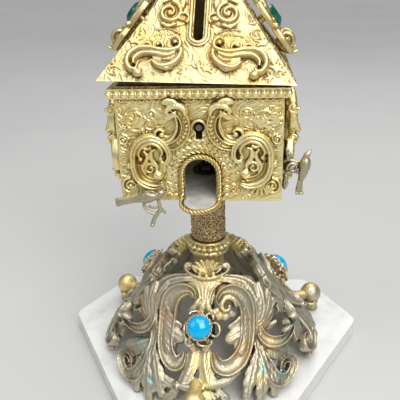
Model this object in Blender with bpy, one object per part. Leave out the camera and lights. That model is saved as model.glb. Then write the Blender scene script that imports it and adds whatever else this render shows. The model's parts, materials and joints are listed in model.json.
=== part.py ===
"""Gilt casket on a tripod foot, built from its separate pieces.

A square lidded box with a bird-house arch, a keyhole and a slotted pyramid roof stands on a short stem.
The stem rises from three openwork rocaille panels on a triangular marble plinth, and one tie rod holds
the stack together. The front faces -Y, +Z is up, and the origin is the plinth's centre at its underside.
Sizes below are in millimetres and are turned into metres when each object is made.
"""

import math

import bmesh
import bpy
from mathutils import Matrix, Vector

MM = 0.001
GAP = 0.3  # clearance left between neighbouring pieces
WELD = 2e-6  # merge distance in metres after a Boolean

# Plinth: a triangle with three canted corners
PLINTH_LONG = 64.4  # centre to each long edge
PLINTH_SHORT = 84.6  # centre to each canted edge
PLINTH_CORNER = 7.5
PLINTH_H = 9.0
PLINTH_BORE = 3.0
RECESS_R = 9.5
RECESS_H = 6.0
PLUG_T = 0.9  # cork disc that closes the recess, flush with the underside

# Tie rod and its flanged nuts
ROD_R = 2.4
ROD_BOTTOM = 1.2
ROD_TOP = 117.8
NUT_R = 4.6
NUT_H = 3.2
FLANGE_NUT_R = 7.0
FLANGE_NUT_T = 0.9

# Foot: three panels that follow one flared profile, given as (radius, height)
FOOT_PROFILE = [
    (10.4, 74.2),
    (14.1, 67.0),
    (19.1, 62.0),
    (23.8, 58.4),
    (28.8, 51.9),
    (33.1, 44.0),
    (40.3, 33.9),
    (49.0, 26.0),
    (56.2, 18.1),
    (61.9, 9.6),
]
PANEL_T = 2.2
PANEL_BOW = 40.0  # radius of each panel's bow across its width
PANEL_ANGLES = {"front": -90.0, "right": 30.0, "left": 150.0}
BALL = (66.8, -3.5, 20.7)  # radius, distance across and height of the ball's centre
BALL_R = 6.2
TOE_R = 2.6
COLLET_S = 42.0  # distance down the profile to the stone's collet
COLLET_ACROSS = -2.2
COLLET_H = 9.0
COLLET_FOOT_R = 4.2
COLLET_TOP_R = 7.4
COLLET_WALL = 0.9
CABOCHON_R = 6.2
CABOCHON_H = 5.0

# Collar and stem
HUB_R = 8.0
HUB_BOTTOM = 58.0
COLLAR = [(8.0, 67.6), (9.4, 68.2), (11.2, 69.8), (11.4, 71.2), (10.5, 72.6), (10.9, 74.6), (6.0, 74.6)]
STEM_BOTTOM_R = 8.6
STEM_TOP_R = 8.3
STEM_WALL = 1.6
STEM_BOTTOM = 74.9
FLANGE_R = 13.0
FLANGE_H = 1.5

# Box
BOX = 36.0  # half width
BOX_Z = 110.8
BOX_TOP = 162.5
WALL = 1.5
FLOOR_T = 1.2
ARCH_R = 7.0
ARCH_SPRING = 123.6
KEY_Z = 144.6
KEY_R = 2.5
KEY_SLOT_W = 2.8
KEY_SLOT_Z = 139.4
LANDING_STRAIGHT = 3.6
LANDING_DEPTH = 12.2
ROPE_R = 1.05
BAND = 39.2  # half width over the beaded band
BAND_Z = (157.6, 162.0)

# Applied castings on the walls
MOUNT_T = 2.6
SIDE_STANDOFF = 2.4

# Lid: a four-sided pyramid with a flat soffit
EAVE = 41.0
EAVE_Z = 164.2
APEX_Z = 216.8
ROOF_T = 1.2
SOFFIT_IN = 33.5
SOFFIT_T = 1.0
ROOF_FLAT = 2.6  # half width of the small flat top that carries the finial
FRAME_OUT = 33.9
FRAME_IN = 30.9
FRAME_Z = (160.1, 163.9)
SLOT_W = 4.2
SLOT_S = (19.3, 46.0)  # slot ends, measured up the slope from the eave
SLOT_RIM = 2.0
SLOT_RIM_H = 1.3
ROOF_MOUNT_T = 2.4

# Hinge behind the back eave
HINGE = (43.1, 164.4)  # y and z of the axis
BARREL_R = 1.7
PIN_R = 0.8
BORE_R = 0.88
KNUCKLE = 9.4
KNUCKLE_GAP = 0.4
LEAF_T = 1.0

# Lock behind the keyhole: case half width, height range and depth range
CASE_X = 13.0
CASE_Z = (137.0, 159.8)
CASE_Y = (-34.2, -27.8)
CASE_WALL = 1.0
BOLT_Y = (-31.5, -30.5)
BOLT_Z = (152.0, 155.0)
LEVER_Y = (-34.0, -33.3)
LEVER_PIVOT = (8.6, 147.0)
STAPLE_Y = (-32.6, -29.4)
STAPLE_Z = (149.8, 159.8)
POST_R = 1.4

SLOPE = math.atan2(APEX_Z - EAVE_Z, EAVE)


# ---------------------------------------------------------------- materials and objects
def clear_scene():
    for obj in list(bpy.data.objects):
        bpy.data.objects.remove(obj)


def material(name, colour, roughness, metallic):
    mat = bpy.data.materials.new(name)
    mat.use_nodes = True
    shader = mat.node_tree.nodes["Principled BSDF"]
    shader.inputs["Base Color"].default_value = (*colour, 1.0)
    shader.inputs["Roughness"].default_value = roughness
    shader.inputs["Metallic"].default_value = metallic
    return mat


def make_materials():
    return {
        "pale_gilt": material("pale_gilt", (0.83, 0.76, 0.55), 0.3, 1.0),
        "yellow_gilt": material("yellow_gilt", (0.86, 0.68, 0.28), 0.3, 1.0),
        "antique_gilt": material("antique_gilt", (0.55, 0.44, 0.27), 0.4, 1.0),
        "marble": material("marble", (0.82, 0.81, 0.78), 0.35, 0.0),
        "turquoise": material("turquoise", (0.05, 0.55, 0.66), 0.2, 0.0),
        "emerald": material("emerald", (0.01, 0.22, 0.15), 0.1, 0.0),
        "pewter": material("pewter", (0.6, 0.61, 0.6), 0.45, 1.0),
        "steel": material("steel", (0.45, 0.43, 0.4), 0.4, 1.0),
        "cork": material("cork", (0.42, 0.27, 0.15), 0.9, 0.0),
    }


def frame(origin, u=(1, 0, 0), v=(0, 1, 0)):
    """Placement whose local x, y and z run along u, v and their cross product, with its origin in millimetres."""
    u, v = Vector(u).normalized(), Vector(v).normalized()
    n = u.cross(v)
    turn = Matrix((u, v, n)).transposed().to_4x4()
    return Matrix.Translation(Vector(origin) * MM) @ turn


def add(name, bm, look, place=None):
    """Turns a bmesh in millimetres into a named object in metres, welded and facing out."""
    bmesh.ops.remove_doubles(bm, verts=bm.verts, dist=0.0005)
    bmesh.ops.recalc_face_normals(bm, faces=bm.faces)
    mesh = bpy.data.meshes.new(name)
    bm.to_mesh(mesh)
    bm.free()
    mesh.transform(Matrix.Scale(MM, 4))
    mesh.shade_smooth()
    mesh.set_sharp_from_angle(angle=math.radians(35))
    if look:
        mesh.materials.append(LOOKS[look])
    obj = bpy.data.objects.new(name, mesh)
    bpy.context.scene.collection.objects.link(obj)
    if place:
        obj.matrix_world = place
    return obj


def boolean(base, tool, operation):
    """Applies one exact Boolean to the base and removes the tool."""
    modifier = base.modifiers.new("cut", "BOOLEAN")
    modifier.operation = operation
    modifier.object = tool
    bpy.context.view_layer.update()
    result = bpy.data.meshes.new_from_object(base.evaluated_get(bpy.context.evaluated_depsgraph_get()))
    bm = bmesh.new()
    bm.from_mesh(result)
    bmesh.ops.remove_doubles(bm, verts=bm.verts, dist=WELD)
    bmesh.ops.dissolve_degenerate(bm, edges=bm.edges, dist=WELD)
    bm.to_mesh(result)
    bm.free()
    base.modifiers.clear()
    base.data = result
    bpy.data.objects.remove(tool)
    return base


def hang_on(axis_name, origin, objects):
    """Parents moving pieces to an empty on their joint's axis without moving them."""
    axis = bpy.data.objects.new(axis_name, None)
    axis.location = Vector(origin) * MM
    bpy.context.scene.collection.objects.link(axis)
    bpy.context.view_layer.update()
    for obj in objects:
        obj.parent = axis
        obj.matrix_parent_inverse = axis.matrix_world.inverted()


# ---------------------------------------------------------------- outlines and basic solids
def arc(cx, cy, radius, start, end, steps, squash=1.0):
    """Points on an arc from start to end in degrees; squash scales its second axis."""
    points = []
    for i in range(steps + 1):
        angle = math.radians(start + (end - start) * i / steps)
        points.append((cx + radius * math.cos(angle), cy + radius * squash * math.sin(angle)))
    return points


def loop(cx, cy, radius, steps=12, squash=1.0):
    return arc(cx, cy, radius, 0, 360, steps, squash)[:-1]


def arc_band(cx, cy, inner, outer, start, end, steps):
    return arc(cx, cy, outer, start, end, steps) + arc(cx, cy, inner, end, start, steps)


def mirrored(points):
    return [(-x, y) for x, y in reversed(points)]


def rounded_polygon(corners, radius, steps):
    """Rounds each corner of a counter-clockwise convex polygon with an arc."""
    points = []
    count = len(corners)
    for i, corner in enumerate(corners):
        here = Vector(corner)
        back = (Vector(corners[i - 1]) - here).normalized()
        ahead = (Vector(corners[(i + 1) % count]) - here).normalized()
        half = back.angle(ahead) / 2
        centre = here + (back + ahead).normalized() * radius / math.sin(half)
        first = here + back * radius / math.tan(half) - centre
        sweep = math.pi - 2 * half
        for k in range(steps + 1):
            point = Matrix.Rotation(sweep * k / steps, 2) @ first
            points.append(tuple(centre + point))
    return points


def plate(outline, holes, thickness, base=0.0):
    """Closed flat plate with holes: the outline lies in XY and the plate rises from base."""
    curve = bpy.data.curves.new("outline", "CURVE")
    curve.dimensions = "2D"
    curve.fill_mode = "BOTH"
    curve.extrude = thickness / 2
    for ring in [outline, *holes]:
        spline = curve.splines.new("POLY")
        spline.points.add(len(ring) - 1)
        for point, (x, y) in zip(spline.points, ring):
            point.co = (x, y, 0, 1)
        spline.use_cyclic_u = True
    guide = bpy.data.objects.new("outline", curve)
    bpy.context.scene.collection.objects.link(guide)
    bpy.context.view_layer.update()
    mesh = bpy.data.meshes.new_from_object(guide.evaluated_get(bpy.context.evaluated_depsgraph_get()))
    bpy.data.objects.remove(guide)
    bm = bmesh.new()
    bm.from_mesh(mesh)
    bmesh.ops.remove_doubles(bm, verts=bm.verts, dist=0.0005)
    bmesh.ops.translate(bm, verts=bm.verts, vec=(0, 0, base + thickness / 2))
    return bm


def box(x, y, z):
    """Closed block between the given (low, high) pairs."""
    outline = [(x[0], y[0]), (x[1], y[0]), (x[1], y[1]), (x[0], y[1])]
    return plate(outline, [], z[1] - z[0], z[0])


def turned(profile, sides, turn=0.0):
    """Closed solid from a closed (radius, height) profile turned about Z; points on the axis become poles."""
    bm = bmesh.new()
    rings = []
    for radius, z in profile:
        if radius == 0:
            rings.append([bm.verts.new((0, 0, z))] * sides)
            continue
        ring = []
        for k in range(sides):
            angle = math.radians(turn) + 2 * math.pi * k / sides
            ring.append(bm.verts.new((radius * math.cos(angle), radius * math.sin(angle), z)))
        rings.append(ring)
    for i, ring in enumerate(rings):
        following = rings[(i + 1) % len(rings)]
        for k in range(sides):
            j = (k + 1) % sides
            corners = list(dict.fromkeys([ring[k], ring[j], following[j], following[k]]))
            if len(corners) > 2:
                bm.faces.new(corners)
    return bm


def tube(points, radius, sides, closed=False):
    """Round bar swept along a path, closed on itself or with flat ends."""
    path = [Vector(p) for p in points]
    count = len(path)
    bm = bmesh.new()
    rings = []
    for i, point in enumerate(path):
        ahead = path[(i + 1) % count] if closed or i < count - 1 else point
        behind = path[i - 1] if closed or i > 0 else point
        along = (ahead - behind).normalized()
        side = along.cross(Vector((0.31, 0.87, 0.38))).normalized()
        over = along.cross(side)
        ring = []
        for k in range(sides):
            angle = 2 * math.pi * k / sides
            ring.append(bm.verts.new(point + radius * (math.cos(angle) * side + math.sin(angle) * over)))
        rings.append(ring)
    last = count if closed else count - 1
    for i in range(last):
        following = rings[(i + 1) % count]
        for k in range(sides):
            j = (k + 1) % sides
            bm.faces.new((rings[i][k], rings[i][j], following[j], following[k]))
    if not closed:
        bm.faces.new(rings[0])
        bm.faces.new(rings[-1])
    return bm


# ---------------------------------------------------------------- plinth and fasteners
def plinth_outline():
    corners = []
    reach = (PLINTH_SHORT - PLINTH_LONG / 2) / math.sin(math.radians(60))
    for long_edge in (90, 210, 330):
        normal = Vector((math.cos(math.radians(long_edge)), math.sin(math.radians(long_edge))))
        along = Vector((-normal.y, normal.x))
        corners.append(normal * PLINTH_LONG - along * reach)
        corners.append(normal * PLINTH_LONG + along * reach)
    return rounded_polygon(corners, PLINTH_CORNER, 5)


def make_plinth():
    bm = plate(plinth_outline(), [], PLINTH_H)
    plinth = add("marble_plinth", bm, "marble")
    recess = turned([(0, -1), (RECESS_R, -1), (RECESS_R, RECESS_H), (0, RECESS_H)], 24)
    boolean(plinth, add("recess", recess, None), "DIFFERENCE")
    bore = turned([(0, -1), (PLINTH_BORE, -1), (PLINTH_BORE, PLINTH_H + 1), (0, PLINTH_H + 1)], 16)
    boolean(plinth, add("bore", bore, None), "DIFFERENCE")
    edge = plinth.modifiers.new("soft_edge", "BEVEL")
    edge.width = 1.4 * MM
    edge.segments = 2
    edge.limit_method = "ANGLE"
    edge.angle_limit = math.radians(60)


def flanged_nut(name, z, up):
    """Hexagon nut whose thin flange lies on its seat: under the hexagon if up is True, over it if not."""
    inset = FLANGE_NUT_T / 2
    low = z if up else z + NUT_H - FLANGE_NUT_T
    hexagon = plate(loop(0, 0, NUT_R, 6), [], NUT_H - inset, z + inset if up else z)
    nut = add(name, hexagon, "steel")
    boolean(nut, add("flange", plate(loop(0, 0, FLANGE_NUT_R, 24), [], FLANGE_NUT_T, low), "steel"), "UNION")
    bore = turned([(0, z - 1), (ROD_R + 0.2, z - 1), (ROD_R + 0.2, z + NUT_H + 1), (0, z + NUT_H + 1)], 16)
    boolean(nut, add("bore", bore, None), "DIFFERENCE")


def make_fasteners():
    rod = [(0, ROD_BOTTOM), (ROD_R, ROD_BOTTOM), (ROD_R, ROD_TOP), (0, ROD_TOP)]
    add("tie_rod", turned(rod, 16), "steel")
    flanged_nut("lower_nut", RECESS_H - GAP - NUT_H, False)
    flanged_nut("upper_nut", BOX_Z + FLOOR_T + GAP, True)
    plug_r = RECESS_R - GAP
    add("recess_plug", turned([(0, 0), (plug_r, 0), (plug_r, PLUG_T), (0, PLUG_T)], 32), "cork")


# ---------------------------------------------------------------- foot
def profile_lengths():
    lengths = [0.0]
    for (r0, z0), (r1, z1) in zip(FOOT_PROFILE, FOOT_PROFILE[1:]):
        lengths.append(lengths[-1] + math.hypot(r1 - r0, z1 - z0))
    return lengths


def profile_normal(i):
    low = FOOT_PROFILE[max(i - 1, 0)]
    high = FOOT_PROFILE[min(i + 1, len(FOOT_PROFILE) - 1)]
    along = Vector((high[0] - low[0], high[1] - low[1])).normalized()
    return Vector((-along.y, along.x))


def on_profile(s):
    """Point and outward normal, both as (radius, height), at a distance s down the foot's profile."""
    lengths = profile_lengths()
    i = 0
    while i < len(lengths) - 2 and s > lengths[i + 1]:
        i += 1
    share = (s - lengths[i]) / (lengths[i + 1] - lengths[i])
    point = Vector(FOOT_PROFILE[i]).lerp(Vector(FOOT_PROFILE[i + 1]), share)
    normal = profile_normal(i).lerp(profile_normal(i + 1), share).normalized()
    return point, normal


def panel_outline():
    """Right half of the casting, down from its shell to its toe: (across, down the profile)."""
    shell = [(3.4, 4.4), (7.6, 6.8), (10.4, 10.4), (10.2, 14.0), (8.4, 17.2)]
    upper_leaf = [(15.0, 16.0), (20.5, 17.6), (24.0, 22.0), (26.5, 28.5), (24.0, 34.0), (20.6, 37.5)]
    lower_leaf = [(20.0, 46.0), (22.0, 52.5), (30.0, 54.0), (37.0, 58.5), (40.5, 65.0), (39.0, 73.0)]
    toe = [(33.0, 79.5), (26.0, 82.0), (19.0, 79.0), (13.0, 80.5), (8.0, 77.0)]
    right = shell + upper_leaf + lower_leaf + toe
    return right + mirrored(right)


def panel_holes():
    right = [
        loop(14.5, 26.5, 6.2, 10, 0.9),
        loop(12.6, 43.5, 3.6, 8, 2.0),
        loop(27.0, 66.5, 7.2, 10, 0.9),
        loop(11.5, 66.5, 3.6, 8, 1.9),
    ]
    centre = [loop(0, 27.0, 3.4, 8, 1.4), loop(0, 56.5, 3.2, 8, 1.3)]
    return right + [mirrored(hole) for hole in right] + centre


def bend_to_foot(bm):
    """Wraps a flat panel, drawn as (across, down), onto the flared profile facing local +X."""
    for vert in bm.verts:
        across, down, out = vert.co
        point, normal = on_profile(down)
        radius = point[0] + out * normal[0] - across * across / (2 * PANEL_BOW)
        vert.co = (radius, across, point[1] + out * normal[1])


def make_panel(name, angle):
    bm = plate(panel_outline(), panel_holes(), PANEL_T)
    for down in profile_lengths()[1:-1]:
        everything = bm.verts[:] + bm.edges[:] + bm.faces[:]
        bmesh.ops.bisect_plane(bm, geom=everything, plane_co=(0, down, 0), plane_no=(0, 1, 0))
    bend_to_foot(bm)
    panel = add(name, bm, "antique_gilt")
    sphere = bmesh.new()
    bmesh.ops.create_uvsphere(sphere, u_segments=14, v_segments=8, radius=BALL_R)
    bmesh.ops.translate(sphere, verts=sphere.verts, vec=BALL)
    boolean(panel, add("ball", sphere, "antique_gilt"), "UNION")
    neck = tube([(54.5, BALL[1], 20.0), (62.5, BALL[1], 20.5)], TOE_R, 8)
    boolean(panel, add("neck", neck, "antique_gilt"), "UNION")
    toe_bottom = PLINTH_H + GAP
    toe = turned([(0, toe_bottom), (TOE_R + 1, toe_bottom), (TOE_R, 16.5), (0, 16.5)], 8)
    bmesh.ops.translate(toe, verts=toe.verts, vec=(BALL[0] + 1.5, BALL[1], 0))
    boolean(panel, add("toe", toe, "antique_gilt"), "UNION")
    panel.matrix_world = Matrix.Rotation(math.radians(angle), 4, "Z")


def collet_place(angle, out):
    """Placement beside a panel's centre line with local z along the outward normal at the stone."""
    point, normal = on_profile(COLLET_S)
    turn = Matrix.Rotation(math.radians(angle), 4, "Z")
    origin = (point[0] + out * normal[0], COLLET_ACROSS, point[1] + out * normal[1])
    local = frame(origin, (0, 1, 0), (-normal[1], 0, normal[0]))
    return turn @ local


def make_stone(side, angle):
    start = PANEL_T + 2 * GAP
    seat = COLLET_H - 2.6
    cup = [
        (COLLET_FOOT_R - COLLET_WALL, 0),
        (COLLET_FOOT_R, 0),
        (COLLET_TOP_R, seat),
        (COLLET_TOP_R, COLLET_H),
        (COLLET_TOP_R - COLLET_WALL, COLLET_H),
        (COLLET_TOP_R - COLLET_WALL, seat),
        (COLLET_FOOT_R - COLLET_WALL + 1.2, seat - 1.6),
    ]
    add(f"turquoise_collet_{side}", turned(cup, 20), "antique_gilt", collet_place(angle, start))
    dome = [(0, 0)] + [(r, z) for r, z in arc(0, 1.2, CABOCHON_R, 0, 90, 5, (CABOCHON_H - 1.2) / CABOCHON_R)]
    dome.insert(1, (CABOCHON_R, 0))
    dome[-1] = (0, CABOCHON_H)
    place = collet_place(angle, start + seat + GAP)
    add(f"turquoise_{side}", turned(dome, 20), "turquoise", place)


def make_foot():
    for side, angle in PANEL_ANGLES.items():
        make_panel(f"foot_panel_{side}", angle)
        make_stone(side, angle)
    hub = [(6.0, HUB_BOTTOM), (HUB_R, HUB_BOTTOM)]
    add("foot_collar", turned(hub + COLLAR, 28), "antique_gilt")


def make_stem():
    top = BOX_Z - GAP
    seat = top - FLANGE_H
    tube_top = seat - GAP
    wall = [
        (STEM_BOTTOM_R - STEM_WALL, STEM_BOTTOM),
        (STEM_BOTTOM_R, STEM_BOTTOM),
        (STEM_TOP_R, tube_top),
        (STEM_TOP_R - STEM_WALL, tube_top),
    ]
    add("stem_tube", turned(wall, 28), "antique_gilt")
    bore = ROD_R + 0.4
    add("stem_flange", turned([(bore, seat), (FLANGE_R, seat), (FLANGE_R, top), (bore, top)], 28), "antique_gilt")


# ---------------------------------------------------------------- box
def arch_notch(radius, foot_z):
    """Arch-shaped edge from its right foot over the crown to its left foot, as (x, z)."""
    return [(radius, foot_z)] + arc(0, ARCH_SPRING, radius, 0, 180, 12) + [(-radius, foot_z)]


def keyhole():
    half = KEY_SLOT_W / 2
    start = -math.degrees(math.acos(half / KEY_R))
    round_top = arc(0, KEY_Z, KEY_R, start, 180 - start, 12)
    return round_top + [(-half, KEY_SLOT_Z), (half, KEY_SLOT_Z)]


def facing(y):
    """Placement on a plane facing -Y: local x is x, local y is z, local z comes towards the viewer."""
    return frame((0, y, 0), (1, 0, 0), (0, 0, 1))


def make_walls():
    notch = arch_notch(ARCH_R, BOX_Z)
    outline = [(-BOX, BOX_Z), (-BOX, BOX_TOP), (BOX, BOX_TOP), (BOX, BOX_Z)] + notch
    add("box_front", plate(outline, [keyhole()], WALL), "yellow_gilt", facing(-BOX + WALL))
    inside = BOX - WALL - GAP
    add("box_back", box((-BOX, BOX), (BOX - WALL, BOX), (BOX_Z, BOX_TOP)), "yellow_gilt")
    add("box_left", box((-BOX, -BOX + WALL), (-inside, inside), (BOX_Z, BOX_TOP)), "yellow_gilt")
    add("box_right", box((BOX - WALL, BOX), (-inside, inside), (BOX_Z, BOX_TOP)), "yellow_gilt")


def landing_edge(half, depth):
    """Semi-elliptical edge of the landing, from its right side round the front to its left side."""
    front = -BOX - LANDING_STRAIGHT
    return arc(0, front, half, 0, -180, 14, depth / half)


def make_floor():
    inside = BOX - WALL - GAP
    half = ARCH_R - GAP
    neck = [(half, -inside)]
    outline = [(-inside, inside), (inside, inside), (inside, -inside)] + neck
    outline += landing_edge(half, LANDING_DEPTH - 2 * ROPE_R - GAP)
    outline += [(-half, -inside), (-inside, -inside)]
    bm = plate(outline[::-1], [loop(0, 0, ROD_R + 0.4, 16)], FLOOR_T, BOX_Z)
    add("floor_plate", bm, "pewter")


def make_rope():
    """Rope moulding that runs over the arch and on round the landing as one closed loop."""
    half = ARCH_R + ROPE_R + GAP
    wall_y = -BOX - GAP - ROPE_R
    low = BOX_Z + ROPE_R
    over = [(x, wall_y, z) for x, z in arc(0, ARCH_SPRING, half, 0, 180, 12)]
    legs = [(-half, wall_y, z) for z in (121.0, 117.0)]
    round_front = [(x, y, low) for x, y in reversed(landing_edge(half, LANDING_DEPTH - ROPE_R))]
    up = [(half, wall_y, z) for z in (117.0, 121.0)]
    corner_left = [(-half, wall_y, low + 1.5), (-half, wall_y - 1.0, low)]
    corner_right = [(half, wall_y - 1.0, low), (half, wall_y, low + 1.5)]
    path = over + legs + corner_left + round_front + corner_right + up
    add("arch_rope", tube(path, ROPE_R, 8, closed=True), "yellow_gilt")


def make_band():
    """Moulding under the lid along the front and both sides; it stops at the back corners."""
    near = BOX + GAP
    outline = [(-BAND, BOX), (-BAND, -BAND), (BAND, -BAND), (BAND, BOX)]
    outline += [(near, BOX), (near, -near), (-near, -near), (-near, BOX)]
    add("beaded_band", plate(outline, [], BAND_Z[1] - BAND_Z[0], BAND_Z[0]), "yellow_gilt")


def make_escutcheon():
    """Raised rim round the top of the keyhole."""
    ring = arc_band(0, KEY_Z, KEY_R + 0.3, KEY_R + 1.3, 40, 140, 8)
    add("keyhole_rim", plate(ring, [], 0.8), "yellow_gilt", facing(-BOX - GAP))


def upper_scroll():
    """C-scroll beside the keyhole: a tapering band that ends in a round eye."""
    band = arc(14.3, 145.5, 11.0, 118, 262, 12)
    tip = arc(16.0, 143.2, 2.3, 250, 470, 6)
    inner = arc(14.3, 145.5, 6.4, 232, 118, 8)
    return band + tip + inner


def cartouche():
    """Oval cartouche low on the wall, drawn on the right-hand side."""
    return loop(22.2, 129.8, 8.2, 18, 1.32), loop(22.4, 130.2, 4.4, 12, 1.5)


def wall_frames():
    """Placements on the four outer wall faces, with local z pointing away from the box."""
    out = BOX + GAP
    return {
        "front": frame((0, -out, 0), (1, 0, 0), (0, 0, 1)),
        "right": frame((out, 0, 0), (0, 1, 0), (0, 0, 1)),
        "back": frame((0, out, 0), (-1, 0, 0), (0, 0, 1)),
        "left": frame((-out, 0, 0), (0, -1, 0), (0, 0, 1)),
    }


def make_wall_mounts():
    walls = wall_frames()
    outline, hole = cartouche()
    for wall in ("front", "back"):
        for side, flip in (("right", False), ("left", True)):
            ring = mirrored(outline) if flip else outline
            eye = mirrored(hole) if flip else hole
            add(f"cartouche_{wall}_{side}", plate(ring, [eye], MOUNT_T), "yellow_gilt", walls[wall])
    for side, flip in (("right", False), ("left", True)):
        ring = mirrored(upper_scroll()) if flip else upper_scroll()
        add(f"scroll_front_{side}", plate(ring, [], MOUNT_T), "yellow_gilt", walls["front"])


def side_mount_outline():
    right = [(5.0, 153.5), (13.0, 155.5), (20.5, 151.0), (23.0, 143.5), (20.0, 137.0), (27.0, 131.0)]
    right += [(28.0, 122.5), (22.0, 117.0), (13.0, 118.5), (8.0, 124.0), (4.0, 121.0)]
    return right + mirrored(right)


def make_side_mounts():
    walls = wall_frames()
    holes = [loop(13.0, 146.5, 5.2, 10), loop(19.0, 126.0, 5.0, 10)]
    holes += [mirrored(hole) for hole in holes]
    for side in ("left", "right"):
        bm = plate(side_mount_outline(), holes, 1.8, SIDE_STANDOFF)
        mount = add(f"side_mount_{side}", bm, "yellow_gilt", walls[side])
        for across in (-24.0, 0.0, 24.0):
            leg = turned([(0, 0), (1.2, 0), (1.2, SIDE_STANDOFF + 1), (0, SIDE_STANDOFF + 1)], 8)
            height = 150.0 if across == 0 else 133.0
            bmesh.ops.translate(leg, verts=leg.verts, vec=(across * 0.97, height - 6.0, 0))
            boolean(mount, add("leg", leg, "yellow_gilt", walls[side]), "UNION")


# ---------------------------------------------------------------- birds and twigs
def bird(name, place):
    """Small round-bodied bird along local x, beak first, with its back up local z."""
    stations = [
        (-11.5, 0.9, 0.5, 0.4),
        (-7.5, 1.3, 0.7, 0.5),
        (-4.0, 2.2, 1.9, 0.3),
        (0.0, 3.0, 3.2, 0.0),
        (4.0, 2.7, 3.1, 0.6),
        (6.6, 1.9, 2.1, 1.7),
        (8.6, 2.0, 2.1, 2.4),
        (10.2, 1.2, 1.3, 2.4),
        (11.6, 0.3, 0.35, 2.0),
    ]
    sides = 10
    bm = bmesh.new()
    rings = []
    for x, half_width, half_height, rise in stations:
        ring = []
        for k in range(sides):
            angle = 2 * math.pi * k / sides
            ring.append(bm.verts.new((x, half_width * math.cos(angle), rise + half_height * math.sin(angle))))
        rings.append(ring)
    for near, far in zip(rings, rings[1:]):
        for k in range(sides):
            j = (k + 1) % sides
            bm.faces.new((near[k], near[j], far[j], far[k]))
    bm.faces.new(rings[0])
    bm.faces.new(rings[-1])
    return add(name, bm, "pale_gilt", place)


def make_birds():
    bird("bird_front", frame((-26.6, -41.5, 112.4), (0.985, 0, 0.17), (0.05, 1, 0)))
    hanging = [(-22.3, -41.0, 108.4), (-20.2, -40.6, 106.0), (-22.0, -40.6, 103.4), (-22.8, -40.6, 100.6)]
    add("twig_front", tube(hanging, 0.9, 8), "pale_gilt")
    bird("bird_side", frame((44.9, -31.0, 122.8), (0.25, 0, 0.968), (0, 1, 0)))
    bracket = [(37.1, -31.0, 120.4), (38.0, -31.0, 121.6), (39.1, -31.0, 120.4), (40.4, -31.0, 121.0)]
    add("twig_side", tube(bracket, 0.9, 8), "pale_gilt")


# ---------------------------------------------------------------- lock
def make_lock():
    depth = CASE_Y[1] - CASE_Y[0]
    case = add("lock_case", box((-CASE_X, CASE_X), CASE_Y, CASE_Z), "steel")
    inner = CASE_X - CASE_WALL
    cavity_y = (CASE_Y[0] - 1, CASE_Y[1] - CASE_WALL)
    cavity = box((-inner, inner), cavity_y, (CASE_Z[0] + CASE_WALL, CASE_Z[1] - CASE_WALL))
    boolean(case, add("cavity", cavity, None), "DIFFERENCE")
    mouth = box((-1.5, 1.5), (CASE_Y[0] - 1, STAPLE_Y[1] + 0.3), (CASE_Z[1] - 2, CASE_Z[1] + 1))
    boolean(case, add("mouth", mouth, None), "DIFFERENCE")
    hole = turned([(0, -1), (POST_R + 0.1, -1), (POST_R + 0.1, depth + 1), (0, depth + 1)], 12)
    boolean(case, add("hole", hole, None, frame((0, CASE_Y[1] + 1, KEY_Z), (1, 0, 0), (0, 0, 1))), "DIFFERENCE")
    px, pz = LEVER_PIVOT
    stud = turned([(0, 0), (0.9, 0), (0.9, 5.6), (0, 5.6)], 12)
    stud_place = frame((px, CASE_Y[1] - CASE_WALL / 2, pz), (1, 0, 0), (0, 0, 1))
    boolean(case, add("stud", stud, "steel", stud_place), "UNION")
    reach = BOX + CASE_Y[1]
    post = turned([(0, 0), (POST_R, 0), (POST_R, reach), (0, reach)], 12)
    add("drill_pin", post, "steel", frame((0, CASE_Y[1], KEY_Z), (1, 0, 0), (0, 0, 1)))
    return [make_bolt(), make_lever()]


def make_bolt():
    """Sliding bolt, drawn withdrawn: a bar with a notched tail that the key turns against."""
    low, high = BOLT_Z
    outline = [(-10.5, 148.6), (-8.9, 148.6), (-8.9, 150.6), (-6.7, 150.6), (-6.7, 148.6), (-5.2, 148.6)]
    outline += [(-5.2, low), (-1.75, low), (-1.75, high), (-10.5, high)]
    return add("lock_bolt", plate(outline, [], BOLT_Y[1] - BOLT_Y[0]), "steel", facing(BOLT_Y[1]))


def make_lever():
    """Detent lever on the case's stud, with a fixed leaf spring lying above it."""
    px, pz = LEVER_PIVOT
    thickness = LEVER_Y[1] - LEVER_Y[0]
    arm = arc(px, pz, 2.2, -90, 90, 6) + [(-6.0, pz + 3.4), (-6.0, pz + 1.6), (4.0, pz - 0.8)]
    lever = add("lock_lever", plate(arm, [loop(px, pz, 1.0, 12)], thickness), "steel", facing(LEVER_Y[1]))
    spring = [(11.7, 153.4), (11.7, 154.0), (2.0, 152.9), (-3.0, 153.5), (-3.0, 152.9), (2.0, 152.3)]
    add("lever_spring", plate(spring, [], thickness), "steel", facing(LEVER_Y[1]))
    return lever


# ---------------------------------------------------------------- lid
def square_turned(profile):
    """Four-sided closed solid from a (half width, height) profile."""
    root2 = math.sqrt(2)
    return turned([(width * root2, z) for width, z in profile], 4, 45)


def roof_frame(direction, s=0.0, out=GAP):
    """Placement on a roof face: local x across, local y up the slope from the eave, local z out of the roof."""
    turn = {"front": 0, "right": 90, "back": 180, "left": 270}[direction]
    up = (0, math.cos(SLOPE), math.sin(SLOPE))
    normal = Vector((0, -math.sin(SLOPE), math.cos(SLOPE)))
    origin = Vector((0, -EAVE, EAVE_Z)) + normal * out + Vector(up) * s
    return Matrix.Rotation(math.radians(turn), 4, "Z") @ frame(origin, (1, 0, 0), up)


def slot_loop(grow):
    """Outline of the coin slot, widened all round by grow."""
    half = SLOT_W / 2 + grow
    low, high = SLOT_S[0] + SLOT_W / 2, SLOT_S[1] - SLOT_W / 2
    return arc(0, high, half, 0, 180, 8) + arc(0, low, half, 180, 360, 8)


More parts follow.
